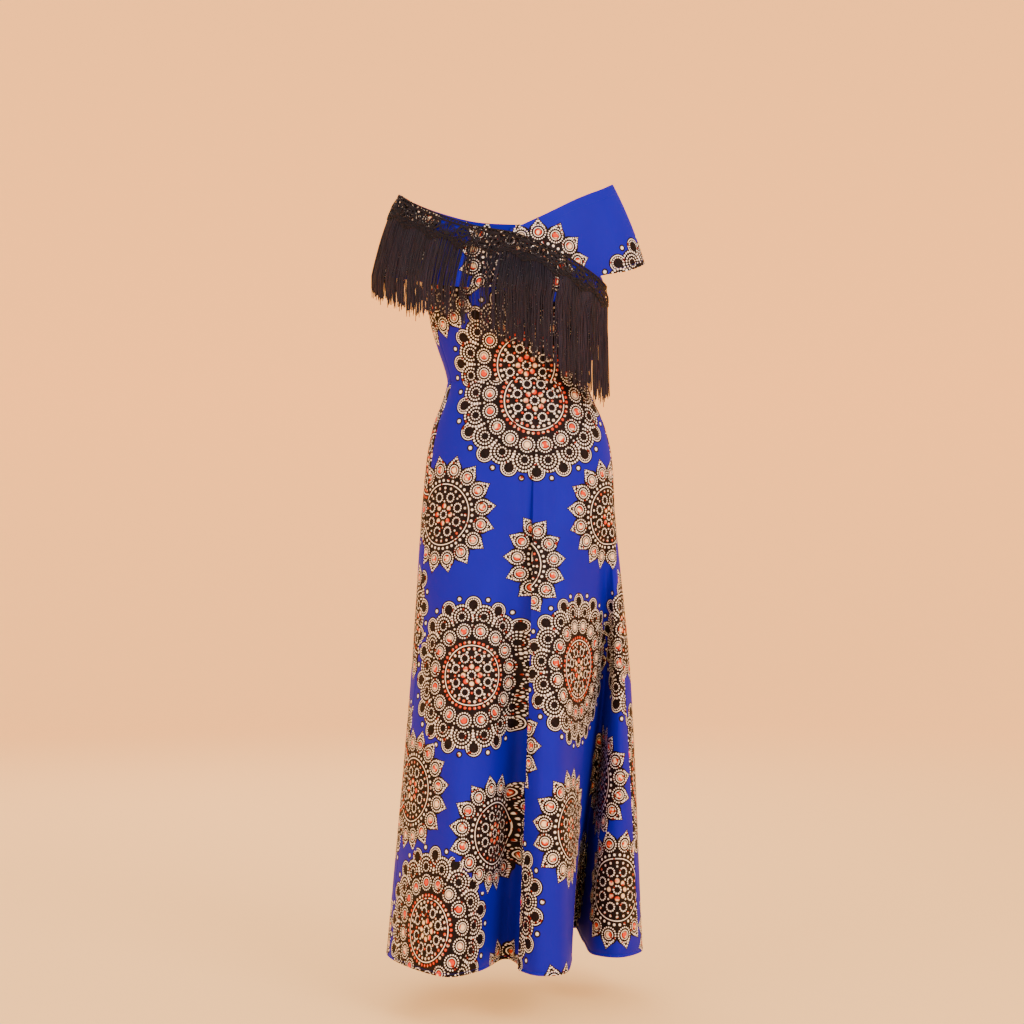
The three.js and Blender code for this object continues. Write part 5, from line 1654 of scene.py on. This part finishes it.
def stitch_lines():
    """A line along each stitched row of the panels, a little above the cloth."""
    points, edges = [], []
    for row in STITCHED_ROWS:
        outer = outers[row["panel"]]
        line_points = (outer + grid_normals(outer) * STITCH_LIFT)[row["row"], 1:-1]
        edges.extend((len(points) + k, len(points) + k + 1) for k in range(len(line_points) - 1))
        points.extend(line_points)
    return points, edges


stitches = run_tree(line_piece("hem_stitches", *stitch_lines()), STITCHES, Finish=BLUE_THREAD)
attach(stitches, "dress")
print("stitches:", len(stitches.data.polygons) // 24)

# %% [markdown]
# ## The zip and the belt loops
# The zip is a concealed one: from outside only its slider and tab show, at the top of the centre back
# seam. The tape is woven polyester, dyed near the cloth. The slider and the tab are cast zinc, enamelled
# in the cloth's blue: a smooth, softly glossy paint that is a little uneven. The belt loops are thread.
# Their solids in the frame have the right form, so they stay, and only get a finish here.

# %% Finishes for the zip
def enamelled(name, colour):
    """Cast metal under enamel paint, with a fine unevenness in its gloss."""
    material, tree, shader = new_finish(name)
    place = add_node(tree, "ShaderNodeTexCoord").outputs["Object"]
    uneven = add_node(tree, "ShaderNodeTexNoise", {"Vector": place, "Scale": 900.0, "Detail": 3.0}).outputs[0]
    rough = add_node(tree, "ShaderNodeMapRange", {0: uneven, 3: 0.28, 4: 0.42}).outputs[0]
    bump = add_node(tree, "ShaderNodeBump", {"Height": uneven, "Strength": 0.15, "Distance": 0.0002})
    tree.links.new(rough, shader.inputs["Roughness"])
    tree.links.new(bump.outputs[0], shader.inputs["Normal"])
    shader.inputs["Base Color"].default_value = linear(colour)
    return material


NODE_FINISHES = {
    "zip_tape": twisted("woven_polyester_tape", "#00077A", "#1226C6", 0.6, 0.05, 1.2, 0.8),
    "zip_slider": enamelled("enamelled_zinc_slider", "#0C12A8"),
    "zip_tab": enamelled("enamelled_zinc_tab", "#1018B4"),
    "belt_loop_right": BLUE_THREAD,
    "belt_loop_left": BLUE_THREAD,
}
for name, material in NODE_FINISHES.items():
    node = bpy.data.objects[name]
    node.data.materials.clear()
    node.data.materials.append(material)
print("finished nodes:", list(NODE_FINISHES))

# %% [markdown]
# ## What each panel was cut to
# A sheet of cloth is stated with the size of its flat pattern, how it is held, and what hangs on it. The
# flat sizes and areas are measured on the unwrapped panels.

# %% Cloth sheets
HELD = rows(
    ("panel", "held", "rests_on"),
    [
        ("bodice_front", "draped", ()),
        ("bodice_back_left", "draped", ()),
        ("bodice_back_right", "draped", ()),
        ("skirt_front", "hung", ("bodice_front_cloth",)),
        ("skirt_back_left", "hung", ("bodice_back_left_cloth",)),
        ("skirt_back_right", "hung", ("bodice_back_right_cloth",)),
        ("shoulder_band_right", "draped", ("shoulder_band_left_cloth",)),
        ("shoulder_band_left", "draped", ("bodice_front_cloth",)),
    ],
)
for row in HELD:
    flat = flats[row["panel"]]
    corners = [flat[:-1, :-1], flat[1:, :-1], flat[1:, 1:], flat[:-1, 1:]]
    sides = zip(corners, corners[1:] + corners[:1])
    crossed = [a[..., 0] * b[..., 1] - a[..., 1] * b[..., 0] for a, b in sides]
    panel = panels[row["panel"]]
